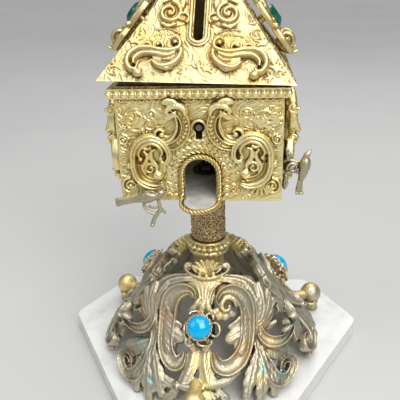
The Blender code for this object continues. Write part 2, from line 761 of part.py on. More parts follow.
def make_roof():
    rise = math.tan(SLOPE)
    flat_z = APEX_Z - ROOF_FLAT * rise
    inner_drop = ROOF_T / math.cos(SLOPE)
    shelf = EAVE_Z + SOFFIT_T
    inner_eave = EAVE - SOFFIT_T / rise - ROOF_T / math.sin(SLOPE)
    inner_top = flat_z - ROOF_T
    inner_flat = (APEX_Z - inner_drop - inner_top) / rise
    bore = 1.1
    profile = [
        (SOFFIT_IN, EAVE_Z),
        (EAVE, EAVE_Z),
        (ROOF_FLAT, flat_z),
        (bore, flat_z),
        (bore, inner_top),
        (inner_flat, inner_top),
        (inner_eave, shelf),
        (SOFFIT_IN, shelf),
    ]
    roof = add("roof_shell", square_turned(profile), "pale_gilt")
    cutter = add("slot_cutter", plate(slot_loop(0), [], 10, -6), None, roof_frame("front"))
    boolean(roof, cutter, "DIFFERENCE")
    rim = plate(slot_loop(GAP + SLOT_RIM), [slot_loop(GAP)], SLOT_RIM_H)
    slot_rim = add("slot_rim", rim, "pale_gilt", roof_frame("front"))
    ball = arc(0, flat_z + 9.0, 4.2, -60, 90, 8)
    neck = [(2.0, flat_z + GAP + 1.6), (1.3, flat_z + 3.4)]
    stem = [(0, inner_top - 4.0), (0.8, inner_top - 4.0), (0.8, flat_z + GAP), (3.6, flat_z + GAP)]
    finial_profile = stem + [(3.6, flat_z + GAP + 1.0)] + neck + ball[:-1] + [(0, flat_z + 13.2)]
    finial = add("finial", turned(finial_profile, 16), "pale_gilt")
    nut_bm = plate(loop(0, 0, 2.1, 6), [loop(0, 0, 1.0, 12)], 1.6, inner_top - 2.4)
    finial_nut = add("finial_nut", nut_bm, "steel")
    return [roof, slot_rim, finial, finial_nut]


def make_lid_frame():
    """Square ring under the roof that drops inside the box, with the lock's staple under its front bar."""
    outline = [(-FRAME_OUT, -FRAME_OUT), (FRAME_OUT, -FRAME_OUT), (FRAME_OUT, FRAME_OUT), (-FRAME_OUT, FRAME_OUT)]
    window = [(-FRAME_IN, -FRAME_IN), (FRAME_IN, -FRAME_IN), (FRAME_IN, FRAME_IN), (-FRAME_IN, FRAME_IN)]
    ring = add("lid_frame", plate(outline, [window], FRAME_Z[1] - FRAME_Z[0], FRAME_Z[0]), "steel")
    y0, y1 = STAPLE_Y
    z0, z1 = STAPLE_Z
    bolt_gap = 0.2
    eye_y = (BOLT_Y[0] - bolt_gap, BOLT_Y[1] + bolt_gap)
    eye_z = (BOLT_Z[0] - 0.4, BOLT_Z[1] + 0.4)
    eye = [(eye_y[0], eye_z[0]), (eye_y[1], eye_z[0]), (eye_y[1], eye_z[1]), (eye_y[0], eye_z[1])]
    staple_bm = plate([(y0, z0), (y1, z0), (y1, z1), (y0, z1)], [eye], 1.5, -0.75)
    staple = add("lock_staple", staple_bm, "steel", frame((0, 0, 0), (0, 1, 0), (0, 0, 1)))
    return [ring, staple]


def roof_scroll():
    """S-scroll low on the roof's front face, drawn on the right-hand side as (across, up the slope)."""
    outer = [(22.6, 1.6), (28.0, 4.6), (29.4, 9.4), (26.4, 14.6), (20.0, 15.8), (13.6, 14.6), (10.6, 16.4)]
    tip = [(11.6, 19.4), (8.6, 20.2), (6.4, 17.0), (7.4, 11.2), (11.4, 7.6), (17.0, 9.2)]
    inner = [(23.0, 10.6), (25.0, 8.2), (23.4, 5.8), (21.4, 4.4)]
    return outer + tip + inner


def emerald_mount(side):
    """Openwork casting standing off a side face on three legs, with an oval bezel for the stone."""
    place = roof_frame(side)
    right = [(4.0, 6.0), (10.5, 8.5), (12.5, 15.0), (10.0, 20.5), (12.0, 27.0), (9.0, 34.0), (4.0, 38.5)]
    holes = [loop(7.0, 14.0, 2.6, 8, 1.3), loop(-7.0, 14.0, 2.6, 8, 1.3)]
    standoff = 2.2
    mount = add(f"emerald_mount_{side}", plate(right + mirrored(right), holes, 1.6, standoff), "pale_gilt", place)
    for across, up in ((-9.0, 26.0), (9.0, 26.0), (0.0, 10.0)):
        leg = turned([(0, 0), (1.2, 0), (1.2, standoff + 0.8), (0, standoff + 0.8)], 8)
        bmesh.ops.translate(leg, verts=leg.verts, vec=(across, up, 0))
        boolean(mount, add("leg", leg, "pale_gilt", place), "UNION")
    bezel = plate(loop(0, 24.5, 6.0, 20, 1.25), [loop(0, 24.5, 5.0, 20, 1.3)], 2.8, standoff + 1.0)
    boolean(mount, add("bezel", bezel, "pale_gilt", place), "UNION")
    stone_base = standoff + 1.6 + GAP
    stone = turned([(0, 0), (4.6, 0), (4.6, 1.4), (3.0, 3.2), (0, 3.2)], 12)
    stretch = Matrix.Diagonal((1.0, 1.28, 1.0, 1.0))
    bmesh.ops.transform(stone, matrix=stretch, verts=stone.verts)
    bmesh.ops.translate(stone, verts=stone.verts, vec=(0, 24.5, stone_base))
    return [mount, add(f"emerald_{side}", stone, "emerald", place)]


def make_roof_mounts():
    place = roof_frame("front")
    pieces = []
    for side, flip in (("right", False), ("left", True)):
        scroll = mirrored(roof_scroll()) if flip else roof_scroll()
        rosette = loop(-11.0 if flip else 11.0, 31.5, 6.0, 14)
        pieces.append(add(f"roof_scroll_{side}", plate(scroll, [], ROOF_MOUNT_T), "pale_gilt", place))
        pieces.append(add(f"roof_rosette_{side}", plate(rosette, [], 1.8), "pale_gilt", place))
        pieces += emerald_mount(side)
    return pieces


# ---------------------------------------------------------------- hinge
def barrel(start, end):
    return arc(*HINGE, BARREL_R, start, end, 12)


def make_hinge():
    """Three-knuckle hinge drawn end on as (y, z): the box leaf has the outer knuckles, the lid leaf the middle one."""
    bore = loop(*HINGE, BORE_R, 16)
    wall_face = BOX + GAP
    box_side = [(wall_face, 150.0), (wall_face + LEAF_T, 150.0), (wall_face + LEAF_T, 161.4)]
    box_side += barrel(265, 575) + [(wall_face, 162.9)]
    place = frame((0, 0, 0), (0, 1, 0), (0, 0, 1))
    middle = KNUCKLE / 2
    outer_start = middle + KNUCKLE_GAP
    leaf = add("hinge_leaf_box", plate(box_side, [bore], KNUCKLE, outer_start), "yellow_gilt", place)
    twin = add("twin", plate(box_side, [bore], KNUCKLE, -outer_start - KNUCKLE), "yellow_gilt", place)
    boolean(leaf, twin, "UNION")
    reach = outer_start + 2
    bridge = box((-reach, reach), (wall_face, wall_face + LEAF_T), (150.0, 159.0))
    boolean(leaf, add("bridge", bridge, "yellow_gilt"), "UNION")
    up = Vector((-math.cos(SLOPE), math.sin(SLOPE)))
    normal = Vector((math.sin(SLOPE), math.cos(SLOPE)))
    eave = Vector((EAVE, EAVE_Z))
    inner_end = eave + normal * GAP + up * 24
    outer_end = inner_end + normal * LEAF_T
    lid_side = barrel(188, 504) + [tuple(outer_end), tuple(inner_end)]
    lid_leaf = add("hinge_leaf_lid", plate(lid_side, [bore], KNUCKLE, -middle), "pale_gilt", place)
    half_pin = outer_start + KNUCKLE + 0.6
    pin = turned([(0, -half_pin), (PIN_R, -half_pin), (PIN_R, half_pin), (0, half_pin)], 16)
    add("hinge_pin", pin, "steel", frame((0, *HINGE), (0, 1, 0), (0, 0, 1)))
    return [lid_leaf]


clear_scene()
LOOKS = make_materials()
make_plinth()
make_fasteners()
make_foot()
make_stem()
make_walls()
make_floor()
make_rope()
make_band()
make_escutcheon()
make_wall_mounts()
make_side_mounts()
make_birds()
bolt, lever = make_lock()
lid_pieces = make_roof() + make_lid_frame() + make_roof_mounts() + make_hinge()
hang_on("lid_axis", (0, *HINGE), lid_pieces)
hang_on("bolt_axis", (0, BOLT_Y[0], BOLT_Z[0]), [bolt])
hang_on("lever_axis", (LEVER_PIVOT[0], LEVER_Y[0], LEVER_PIVOT[1]), [lever])
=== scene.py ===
"""Looks for the gilt casket: cast scrolls, engraved walls, beads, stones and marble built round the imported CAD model.

Shapes are drawn in millimetres on flat or unrolled surfaces, mapped onto the object, and turned into metres
when each piece is made. Castings are gathered as closed shells and fused with a voxel remesh.
"""

import json
import math

import bmesh
import bpy
import numpy as np
from mathutils import Matrix, Vector


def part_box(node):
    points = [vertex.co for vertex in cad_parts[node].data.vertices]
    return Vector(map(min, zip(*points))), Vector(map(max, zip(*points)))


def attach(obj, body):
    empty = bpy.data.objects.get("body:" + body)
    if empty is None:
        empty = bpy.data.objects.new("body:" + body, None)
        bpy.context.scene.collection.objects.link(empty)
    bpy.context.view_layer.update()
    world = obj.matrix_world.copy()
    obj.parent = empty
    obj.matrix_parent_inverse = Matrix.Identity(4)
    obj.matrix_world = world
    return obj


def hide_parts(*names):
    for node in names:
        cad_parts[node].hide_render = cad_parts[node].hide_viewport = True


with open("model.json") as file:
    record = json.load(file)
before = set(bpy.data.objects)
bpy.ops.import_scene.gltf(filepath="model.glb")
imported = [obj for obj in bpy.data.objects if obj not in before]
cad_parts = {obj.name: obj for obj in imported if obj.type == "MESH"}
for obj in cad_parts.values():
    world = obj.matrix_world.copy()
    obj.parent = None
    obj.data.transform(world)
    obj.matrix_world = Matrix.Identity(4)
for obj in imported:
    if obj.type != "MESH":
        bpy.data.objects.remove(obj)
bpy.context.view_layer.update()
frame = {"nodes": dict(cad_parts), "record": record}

MM = 0.001
NODES = frame["nodes"]


# ---------------------------------------------------------------- sizes taken from the frame, in millimetres
def box_mm(node):
    low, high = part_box(node)
    return np.array(low) / MM, np.array(high) / MM


WALL_LOW, WALL_HIGH = box_mm("box_front")
BOX = WALL_HIGH[0]
BOX_Z = WALL_LOW[2]
BOX_TOP = WALL_HIGH[2]
WALL_T = WALL_HIGH[1] - WALL_LOW[1]
ROOF_LOW, ROOF_HIGH = box_mm("roof_shell")
EAVE = ROOF_HIGH[0]
EAVE_Z = ROOF_LOW[2]
FLAT_Z = ROOF_HIGH[2]
BAND_LOW, BAND_HIGH = box_mm("beaded_band")
PLINTH_TOP = box_mm("marble_plinth")[1][2]
COLLAR_LOW, COLLAR_HIGH = box_mm("foot_collar")
STEM_LOW, STEM_HIGH = box_mm("stem_tube")
FLANGE_LOW, FLANGE_HIGH = box_mm("stem_flange")
ROPE_LOW, ROPE_HIGH = box_mm("arch_rope")

ROOF_FLAT = 2.6  # half width of the roof's flat top
SLOPE = math.atan2(FLAT_Z - EAVE_Z, EAVE - ROOF_FLAT)
SLOPE_LENGTH = math.hypot(FLAT_Z - EAVE_Z, EAVE - ROOF_FLAT)
SOFFIT_IN = 33.5
ROOF_T = 1.2
ARCH_R = 7.0
ARCH_SPRING = 123.6
KEY_Z = 144.6
KEY_R = 2.5
KEY_SLOT = (1.4, 139.4)  # half width and lower end
SLOT_HALF = 2.1
STEM_LOW_R = 8.6
STEM_HIGH_R = 8.3
STEM_WALL = 1.6
LID_PIVOT = Vector((0, 0, 164.2)) * MM
LID_TILT = (
    Matrix.Translation(LID_PIVOT + Vector((-0.5, 0, 0.4)) * MM)
    @ Matrix.Rotation(math.radians(2.0), 4, "Y")
    @ Matrix.Translation(-LID_PIVOT)
)
SLOT_S = (19.3, 46.0)
ROPE_R = 1.05
FOOT_PROFILE = np.array(
    [
        (10.4, 74.2),
        (14.1, 67.0),
        (19.1, 62.0),
        (23.8, 58.4),
        (28.8, 51.9),
        (33.1, 44.0),
        (40.3, 33.9),
        (49.0, 26.0),
        (56.2, 18.1),
        (61.9, 9.6),
    ]
)
PANEL_T = 2.2
PANEL_BOW = 40.0
PANEL_ANGLES = {"front": -90.0, "right": 30.0, "left": 150.0}
BALL = (66.8, -3.5, 20.7)  # radius, across, height of the ball on the foot
BALL_R = 6.2
COLLET = (42.0, -2.2)  # down the profile, across


# ---------------------------------------------------------------- materials
def node(tree, kind, **values):
    made = tree.nodes.new(kind)
    for key, value in values.items():
        if key in made.inputs:
            made.inputs[key].default_value = value
        else:
            setattr(made, key, value)
    return made


def ramp(tree, source, stops):
    made = tree.nodes.new("ShaderNodeValToRGB")
    elements = made.color_ramp.elements
    while len(elements) < len(stops):
        elements.new(0.5)
    for element, (place, colour) in zip(elements, stops):
        element.position = place
        element.color = (*colour, 1.0) if len(colour) == 3 else colour
    tree.links.new(source, made.inputs["Fac"])
    return made.outputs["Color"]


def grey(value):
    return (value, value, value)


def mix(tree, factor, low, high, blend="MIX"):
    made = tree.nodes.new("ShaderNodeMix")
    made.data_type = "RGBA"
    made.blend_type = blend
    for socket, value in ((made.inputs[0], factor), (made.inputs[6], low), (made.inputs[7], high)):
        if isinstance(value, bpy.types.NodeSocket):
            tree.links.new(value, socket)
        elif isinstance(value, tuple):
            socket.default_value = (*value, 1.0)
        else:
            socket.default_value = value
    return made.outputs[2]


def noise(tree, scale, detail=4.0, rough=0.55, distortion=0.0):
    coords = tree.nodes.new("ShaderNodeNewGeometry")
    made = node(tree, "ShaderNodeTexNoise", Scale=scale, Detail=detail, Roughness=rough, Distortion=distortion)
    tree.links.new(coords.outputs["Position"], made.inputs["Vector"])
    return made.outputs["Fac"]


def start_material(name):
    mat = bpy.data.materials.new(name)
    mat.use_nodes = True
    tree = mat.node_tree
    shader = tree.nodes["Principled BSDF"]
    return mat, tree, shader


def bump(tree, shader, height, strength, distance):
    made = node(tree, "ShaderNodeBump", Strength=strength, Distance=distance)
    tree.links.new(height, made.inputs["Height"])
    tree.links.new(made.outputs["Normal"], shader.inputs["Normal"])


def gilt(name, bright, base, hollow_shade, rough, patina=None, warm=None, engraved=0.0):
    """Gilding lighter on raised edges, with painted shade darkening the hollows, cloudy tone and fine tool marks."""
    mat, tree, shader = start_material(name)
    geometry = tree.nodes.new("ShaderNodeNewGeometry")
    edge = ramp(tree, geometry.outputs["Pointiness"], [(0.45, grey(0.0)), (0.50, grey(0.35)), (0.55, grey(1.0))])
    cloudy = ramp(tree, noise(tree, 160.0, 5.0), [(0.35, grey(0.0)), (0.68, grey(1.0))])
    colour = mix(tree, mix(tree, 0.35, edge, cloudy), base, bright)
    if warm:
        spots = ramp(tree, noise(tree, 55.0, 2.0), [(0.50, grey(0.0)), (0.66, grey(0.7))])
        colour = mix(tree, spots, colour, warm)
    if engraved:
        colour = mix(tree, zone(tree, "gold_zone"), colour, mix(tree, edge, (0.78, 0.60, 0.24), (1.0, 0.88, 0.50)))
        colour = mix(tree, zone(tree, "blue_zone"), colour, (0.26, 0.56, 0.56))
    if patina:
        low = ramp(tree, noise(tree, 45.0, 3.0), [(0.50, grey(0.0)), (0.68, grey(0.75))])
        colour = mix(tree, low, colour, patina)
    # Painted shade: ambient occlusion and concave pointiness pull the colour down to the hollow shade colour in hollows
    # and creases.
    hollow = node(tree, "ShaderNodeAmbientOcclusion", Distance=0.003, samples=6)
    shade = ramp(tree, hollow.outputs["AO"], [(0.30, grey(0.0)), (0.94, grey(1.0))])
    sunk = ramp(tree, geometry.outputs["Pointiness"], [(0.42, grey(0.25)), (0.495, grey(1.0))])
    colour = mix(tree, mix(tree, 1.0, shade, sunk, "MULTIPLY"), hollow_shade, colour)
    tree.links.new(colour, shader.inputs["Base Color"])
    shader.inputs["Metallic"].default_value = 1.0
    marks = noise(tree, 900.0, 3.0)
    spread = ramp(tree, marks, [(0.3, grey(rough - 0.06)), (0.7, grey(rough + 0.12))])
    tree.links.new(spread, shader.inputs["Roughness"])
    if engraved:
        marks = mix(tree, 0.75, marks, chased_lines(tree), "ADD")
    bump(tree, shader, marks, 0.22 + 0.18 * engraved, 0.0002 + 0.0001 * engraved)
    return mat


def chased_lines(tree):
    """Fine wandering lines cut by the chaser's tool."""
    geometry = tree.nodes.new("ShaderNodeNewGeometry")
    wave = node(tree, "ShaderNodeTexWave", Scale=170.0, Distortion=34.0, Detail=1.5)
    wave.inputs["Detail Scale"].default_value = 0.55
    tree.links.new(geometry.outputs["Position"], wave.inputs["Vector"])
    return wave.outputs["Fac"]


def zone(tree, name):
    """Share of a finish painted on the mesh's points under an attribute name."""
    attribute = tree.nodes.new("ShaderNodeAttribute")
    attribute.attribute_name = name
    return attribute.outputs["Fac"]


def marble_material():
    mat, tree, shader = start_material("white_marble")
    veins = noise(tree, 38.0, 9.0, 0.62, 1.2)
    cloud = noise(tree, 12.0, 4.0)
    colour = ramp(tree, veins, [(0.28, (0.50, 0.50, 0.50)), (0.42, (0.70, 0.70, 0.69)), (0.58, (0.80, 0.80, 0.79))])
    colour = mix(tree, ramp(tree, cloud, [(0.4, grey(0.0)), (0.7, grey(0.5))]), colour, (0.68, 0.68, 0.67))
    speckle = ramp(tree, noise(tree, 420.0, 3.0), [(0.25, grey(0.93)), (0.4, grey(1.0))])
    colour = mix(tree, 1.0, colour, speckle, "MULTIPLY")
    tree.links.new(colour, shader.inputs["Base Color"])
    shader.inputs["Roughness"].default_value = 0.32
    shader.inputs["Subsurface Weight"].default_value = 0.08
    shader.inputs["Subsurface Radius"].default_value = (0.004, 0.004, 0.004)
    bump(tree, shader, noise(tree, 500.0, 4.0), 0.04, 0.0001)
    return mat


def turquoise_material():
    mat, tree, shader = start_material("turquoise_glaze")
    tone = ramp(tree, noise(tree, 220.0, 4.0), [(0.3, (0.0, 0.36, 0.72)), (0.7, (0.0, 0.49, 0.84))])
    tree.links.new(tone, shader.inputs["Base Color"])
    shader.inputs["Roughness"].default_value = 0.12
    shader.inputs["Coat Weight"].default_value = 0.35
    shader.inputs["Coat Roughness"].default_value = 0.05
    bump(tree, shader, noise(tree, 300.0, 2.0), 0.05, 0.0002)
    return mat


def emerald_material():
    mat, tree, shader = start_material("emerald_glass")
    tone = ramp(tree, noise(tree, 260.0, 3.0), [(0.3, (0.0, 0.05, 0.035)), (0.7, (0.0, 0.17, 0.12))])
    tree.links.new(tone, shader.inputs["Base Color"])
    shader.inputs["Roughness"].default_value = 0.05
    shader.inputs["IOR"].default_value = 1.6
    shader.inputs["Specular IOR Level"].default_value = 0.8
    return mat


def dull_metal(name, dark, light, rough, scale, metallic=0.85):
    mat, tree, shader = start_material(name)
    tone = ramp(tree, noise(tree, scale, 6.0, 0.6, 0.6), [(0.32, dark), (0.68, light)])
    tree.links.new(tone, shader.inputs["Base Color"])
    shader.inputs["Metallic"].default_value = metallic
    spread = ramp(tree, noise(tree, scale * 3, 3.0), [(0.3, grey(rough - 0.08)), (0.7, grey(rough + 0.12))])
    tree.links.new(spread, shader.inputs["Roughness"])
    bump(tree, shader, noise(tree, scale * 2, 4.0), 0.15, 0.0003)
    return mat


def make_materials():
    # In each gilt call the colours run: raised edges, body, then the painted shade laid into the hollows.
    return {
        "pale_gilt": gilt(
            "pale_gilt", (0.77, 0.67, 0.38), (0.64, 0.53, 0.27), (0.27, 0.18, 0.05), 0.44, None, (0.74, 0.53, 0.19)
        ),
        "yellow_gilt": gilt(
            "yellow_gilt", (1.0, 0.91, 0.52), (0.89, 0.76, 0.37), (0.30, 0.20, 0.05), 0.40, None, (0.90, 0.67, 0.25)
        ),
        "rope_gilt": gilt("rope_gilt", (1.0, 0.91, 0.54), (0.93, 0.80, 0.42), (0.46, 0.34, 0.12), 0.36),
        "collet_gilt": gilt("collet_gilt", (0.90, 0.78, 0.58), (0.68, 0.55, 0.36), (0.18, 0.12, 0.06), 0.36),
        "bird_gilt": gilt("bird_gilt", (0.68, 0.62, 0.45), (0.38, 0.34, 0.23), (0.11, 0.09, 0.05), 0.46),
        "antique_gilt": gilt(
            "antique_gilt", (0.76, 0.70, 0.54), (0.45, 0.40, 0.30), (0.11, 0.085, 0.05), 0.50,
            (0.42, 0.43, 0.34), (0.60, 0.44, 0.26), 1.0,
        ),
        "stem_gilt": gilt("stem_gilt", (0.78, 0.58, 0.32), (0.44, 0.31, 0.16), (0.08, 0.05, 0.02), 0.40),
        "marble": marble_material(),
        "turquoise": turquoise_material(),
        "emerald": emerald_material(),
        "pewter": dull_metal("pewter", (0.60, 0.61, 0.58), (0.92, 0.92, 0.88), 0.45, 180.0, 0.40),
        "steel": dull_metal("steel", (0.07, 0.06, 0.05), (0.22, 0.19, 0.16), 0.45, 240.0),
        "cork": dull_metal("cork", (0.25, 0.15, 0.08), (0.50, 0.33, 0.19), 0.85, 500.0, 0.0),
    }


LOOKS = make_materials()


# ---------------------------------------------------------------- closed shells
class Casting:
    """Closed shells in millimetres that are fused into one piece."""

    def __init__(self):
        self.verts = []
        self.faces = []

    def add(self, verts, faces):
        start = sum(len(block) for block in self.verts)
        self.verts.append(np.asarray(verts, float))
        self.faces += [tuple(start + i for i in face) for face in faces]

    def slab(self, top, bottom, place):
        """Closed shell between two grids of (u, v, h) points, mapped into space by place."""
        rows, cols = top.shape[:2]
        count = rows * cols
        faces = []
        for i in range(rows - 1):
            for j in range(cols - 1):
                a, b = i * cols + j, i * cols + j + 1
                c, d = a + cols, b + cols
                faces.append((a, b, d, c))
                faces.append((a + count, c + count, d + count, b + count))
        rim = [(0, j) for j in range(cols)] + [(i, cols - 1) for i in range(1, rows)]
        rim += [(rows - 1, j) for j in range(cols - 2, -1, -1)] + [(i, 0) for i in range(rows - 2, 0, -1)]
        ids = [i * cols + j for i, j in rim]
        for a, b in zip(ids, ids[1:] + ids[:1]):
            faces.append((b, a, a + count, b + count))
        points = np.concatenate([top.reshape(-1, 3), bottom.reshape(-1, 3)])
        self.add(place(points), faces)

    def ball(self, centre, radius, place, squash=(1, 1, 1), segments=14):
        """Ellipsoid round a (u, v, h) centre."""
        rings = segments // 2
        points = [(0, 0, 1)]
        for i in range(1, rings):
            lat = math.pi * i / rings
            for j in range(segments):
                lon = 2 * math.pi * j / segments
                points.append((math.sin(lat) * math.cos(lon), math.sin(lat) * math.sin(lon), math.cos(lat)))
        points.append((0, 0, -1))
        faces = [(0, 1 + j, 1 + (j + 1) % segments) for j in range(segments)]
        for i in range(rings - 2):
            for j in range(segments):
                k = (j + 1) % segments
                a, b = 1 + i * segments, 1 + (i + 1) * segments
                faces.append((a + j, b + j, b + k, a + k))
        last = len(points) - 1
        tail = 1 + (rings - 2) * segments
        faces += [(last, tail + (j + 1) % segments, tail + j) for j in range(segments)]
        cloud = np.array(points) * radius * np.array(squash) + np.array(centre)
        self.add(place(cloud), faces)

    def mesh(self, name):
        made = bpy.data.meshes.new(name)
        made.from_pydata((np.concatenate(self.verts) * MM).tolist(), [], self.faces)
        made.validate()
        return made


def spline(controls, count):
    """Catmull-Rom curve through the controls, sampled evenly along its length of the first two columns."""
    pts = np.asarray(controls, float)
    if pts.ndim == 1:
        pts = pts[:, None]
    padded = np.concatenate([[2 * pts[0] - pts[1]], pts, [2 * pts[-1] - pts[-2]]])
    dense = []
    steps = 12
    for i in range(1, len(padded) - 2):
        p0, p1, p2, p3 = padded[i - 1 : i + 3]
        for k in range(steps):
            t = k / steps
            dense.append(
                0.5 * (2 * p1 + (p2 - p0) * t + (2 * p0 - 5 * p1 + 4 * p2 - p3) * t * t + (3 * p1 - p0 - 3 * p2 + p3) * t**3)
            )
    dense.append(padded[-2])
    dense = np.array(dense)
    step = np.hypot(*(np.diff(dense[:, :2], axis=0)).T)
    along = np.concatenate([[0], np.cumsum(step)])
    wanted = np.linspace(0, along[-1], count)
    return np.stack([np.interp(wanted, along, dense[:, k]) for k in range(dense.shape[1])], 1)


# Cross sections: (across from -1 to 1, height as a share of the full height)
CHANNEL = [(-1, 0.0), (-0.97, 0.6), (-0.86, 1.0), (-0.72, 0.92), (-0.56, 0.42), (-0.3, 0.16), (0, 0.08)]
CHANNEL = CHANNEL + [(-x, y) for x, y in reversed(CHANNEL[:-1])]
ROUND = [(math.sin(a), math.cos(a)) for a in np.linspace(-math.pi / 2, math.pi / 2, 9)]
LEAF = [(-1, 0.0), (-0.8, 0.5), (-0.5, 0.95), (-0.2, 0.85), (0, 0.55), (0.2, 0.85), (0.5, 0.95), (0.8, 0.5), (1, 0.0)]
STEM = [(-1, 0), (-0.85, 0.7), (-0.65, 0.85), (-0.45, 0.55), (-0.2, 0.95), (0, 1.0)]
STEM = STEM + [(-x, y) for x, y in reversed(STEM[:-1])]


def ribbon(casting, controls, section, height, place, thick=1.2, count=None, flutes=None, droop=0.0):
    """Scroll swept along (u, v, half width, lift) controls with the given section standing up from it."""
    rough = np.asarray(controls, float)
    length = np.hypot(*np.diff(rough[:, :2], axis=0).T).sum()
    path = spline(rough, count or max(10, int(length / 0.7)))
    centre = path[:, :2]
    half = np.maximum(path[:, 2], 0.05)
    lift = path[:, 3]
    along = np.gradient(centre, axis=0)
    along /= np.linalg.norm(along, axis=1)[:, None]
    side = np.stack([-along[:, 1], along[:, 0]], 1)
    across = np.array([x for x, _ in section])
    rise = np.array([y for _, y in section])
    taper = np.clip(half / max(half.max() * 0.45, 0.01), 0.15, 1.0)
    top = np.zeros((len(path), len(section), 3))
    top[:, :, :2] = centre[:, None] + side[:, None] * (across[None, :, None] * half[:, None, None])
    top[:, :, 2] = lift[:, None] + height * rise[None, :] * taper[:, None] - droop * across[None, :] ** 2
    if flutes:
        wave = np.abs(np.sin(np.linspace(0, math.pi * flutes, len(path))))
        middle = np.clip(1 - np.abs(across) / 0.6, 0, 1)
        top[:, :, 2] += 0.35 * height * wave[:, None] * middle[None, :]
    bottom = top.copy()
    bottom[:, :, 2] = lift[:, None] - thick - droop * across[None, :] ** 2
    inset = 0.92
    bottom[:, :, :2] = centre[:, None] + side[:, None] * (across[None, :, None] * half[:, None, None] * inset)
    casting.slab(top, bottom, place)


def leaf(casting, controls, height, place, lobes=3, bite=0.28, thick=1.0, curl=0.0):
    """Acanthus leaf along (u, v, half width, lift) controls: a lobed edge, a sunk vein and ribs into each lobe."""
    path = spline(controls, max(16, lobes * 8))
    centre, half, lift = path[:, :2], np.maximum(path[:, 2], 0.1), path[:, 3]
    along = np.gradient(centre, axis=0)
    along /= np.linalg.norm(along, axis=1)[:, None]
    side = np.stack([-along[:, 1], along[:, 0]], 1)
    share = np.linspace(0, 1, len(path))
    lobe = np.abs(np.sin(math.pi * lobes * share)) ** 0.6
    width = half * (1 - bite * (1 - lobe) * np.clip(share * 4, 0, 1))
    across = np.linspace(-1, 1, 25)
    top = np.zeros((len(path), len(across), 3))
    push = across[None, :] ** 2 * half[:, None] * 0.35
    top[:, :, :2] = centre[:, None] + side[:, None] * (across[None, :, None] * width[:, None, None])
    top[:, :, :2] += along[:, None] * push[:, :, None]
    crown = 1 - across[None, :] ** 2 * 0.75
    vein = 1 - 0.45 * np.exp(-((across[None, :] / 0.14) ** 2))
    ribs = 1 - 0.30 * (1 - lobe)[:, None] * np.clip(np.abs(across)[None, :] * 1.6, 0, 1)
    flutes = 1 - 0.30 * (0.5 + 0.5 * np.cos(math.pi * 7 * np.abs(across[None, :]) ** 0.9)) * (half[:, None] > 1.6)
    top[:, :, 2] = lift[:, None] + height * crown * vein * ribs * flutes + curl * share[:, None] ** 2
    bottom = top.copy()
    bottom[:, :, 2] = lift[:, None] - thick + curl * share[:, None] ** 2
    casting.slab(top, bottom, place)


def fan(casting, centre, radius, start, end, ribs, height, place, base=0.0, thick=1.2, inner=0.12):
    """Scallop shell: ribs spread from the centre, with a scalloped rim."""
    u, v = centre
    angles = np.radians(np.linspace(start, end, ribs * 8 + 1))
    swell = np.abs(np.sin(np.linspace(0, math.pi * ribs, len(angles))))
    reach = np.linspace(inner, 1, 12)
    top = np.zeros((len(reach), len(angles), 3))
    outer = radius * (0.9 + 0.1 * swell)
    top[:, :, 0] = u + reach[:, None] * outer[None, :] * np.cos(angles)[None, :]
    top[:, :, 1] = v + reach[:, None] * outer[None, :] * np.sin(angles)[None, :]
    dome = np.sin(np.clip(reach * 1.25, 0, 1.45) * math.pi / 2) * 0.6 + 0.4 * reach
    top[:, :, 2] = base + height * (0.45 + 0.55 * swell[None, :] * reach[:, None]) * dome[:, None]
    bottom = top.copy()
    bottom[:, :, 2] = base - thick
    casting.slab(top, bottom, place)


def field(casting, near, far, height, place, lobes=0, bite=0.3, thick=1.6, slant=0.16, ribs=0):
    """Sheet between two curves of (u, v, lift); with lobes it is an acanthus leaf cut in along the far curve."""
    rows = max(24, lobes * 10)
    share = np.linspace(0, 1, rows)
    near, far = spline(near, rows), spline(far, rows)
    swell = np.abs(np.sin(math.pi * lobes * share)) ** 0.5 if lobes else np.ones(rows)
    across = np.linspace(0, 1, 17)
    top = np.zeros((rows, len(across), 3))
    for j, a in enumerate(across):
        back = np.clip(share - slant * (1 - a), 0, 1) if lobes else share
        start = np.stack([np.interp(back, share, near[:, k]) for k in range(3)], 1)
        reach = a * (1 - bite * (1 - swell))
        top[:, j] = start + (far - start) * reach[:, None]
    bottom = top.copy()
    bottom[:, :, 2] -= thick
    if lobes:
        rise = 0.35 + 0.65 * np.sin(math.pi * np.clip(across * 0.96, 0, 1)) ** 0.7
        flute = 1 - 0.45 * (1 - swell[:, None]) * np.clip(across * 1.6, 0, 1)
        top[:, :, 2] += height * rise * flute
        top[:, :, 2] += 0.16 * np.cos(2 * math.pi * 3 * lobes * share)[:, None] * np.sin(math.pi * across)
    else:
        top[:, :, 2] += height * (1 - 0.8 * (2 * across - 1) ** 2)
    if ribs:
        top[:, :, 2] += 0.22 * np.cos(2 * math.pi * ribs * across)
    casting.slab(top, bottom, place)


def patch(casting, outline_u, v_low, v_high, height, place, thick=1.6):
    """Smooth crowned field: half width given by a function of v between two limits."""
    vs = np.linspace(v_low, v_high, 16)
    edges = [(v, *outline_u(v)) for v in vs]
    low = [(middle - half, v, 0) for v, middle, half in edges]
    high = [(middle + half, v, 0) for v, middle, half in edges]
    field(casting, low, high, height, place, thick=thick)


def spiral(cx, cy, start_radius, end_radius, start, turns, half_start, half_end, lift=0.0, steps_per_turn=10):
    """Controls for a spiral: angle in degrees, positive turns run counter-clockwise."""
    steps = max(4, int(abs(turns) * steps_per_turn))
    controls = []
    for i in range(steps + 1):
        share = i / steps
        angle = math.radians(start) + 2 * math.pi * turns * share
        radius = start_radius + (end_radius - start_radius) * share
        half = half_start + (half_end - half_start) * share
        controls.append((cx + radius * math.cos(angle), cy + radius * math.sin(angle), half, lift))
    return controls


def flip_u(controls, keep=0.0):
    return [(2 * keep - c[0], *c[1:]) for c in controls]


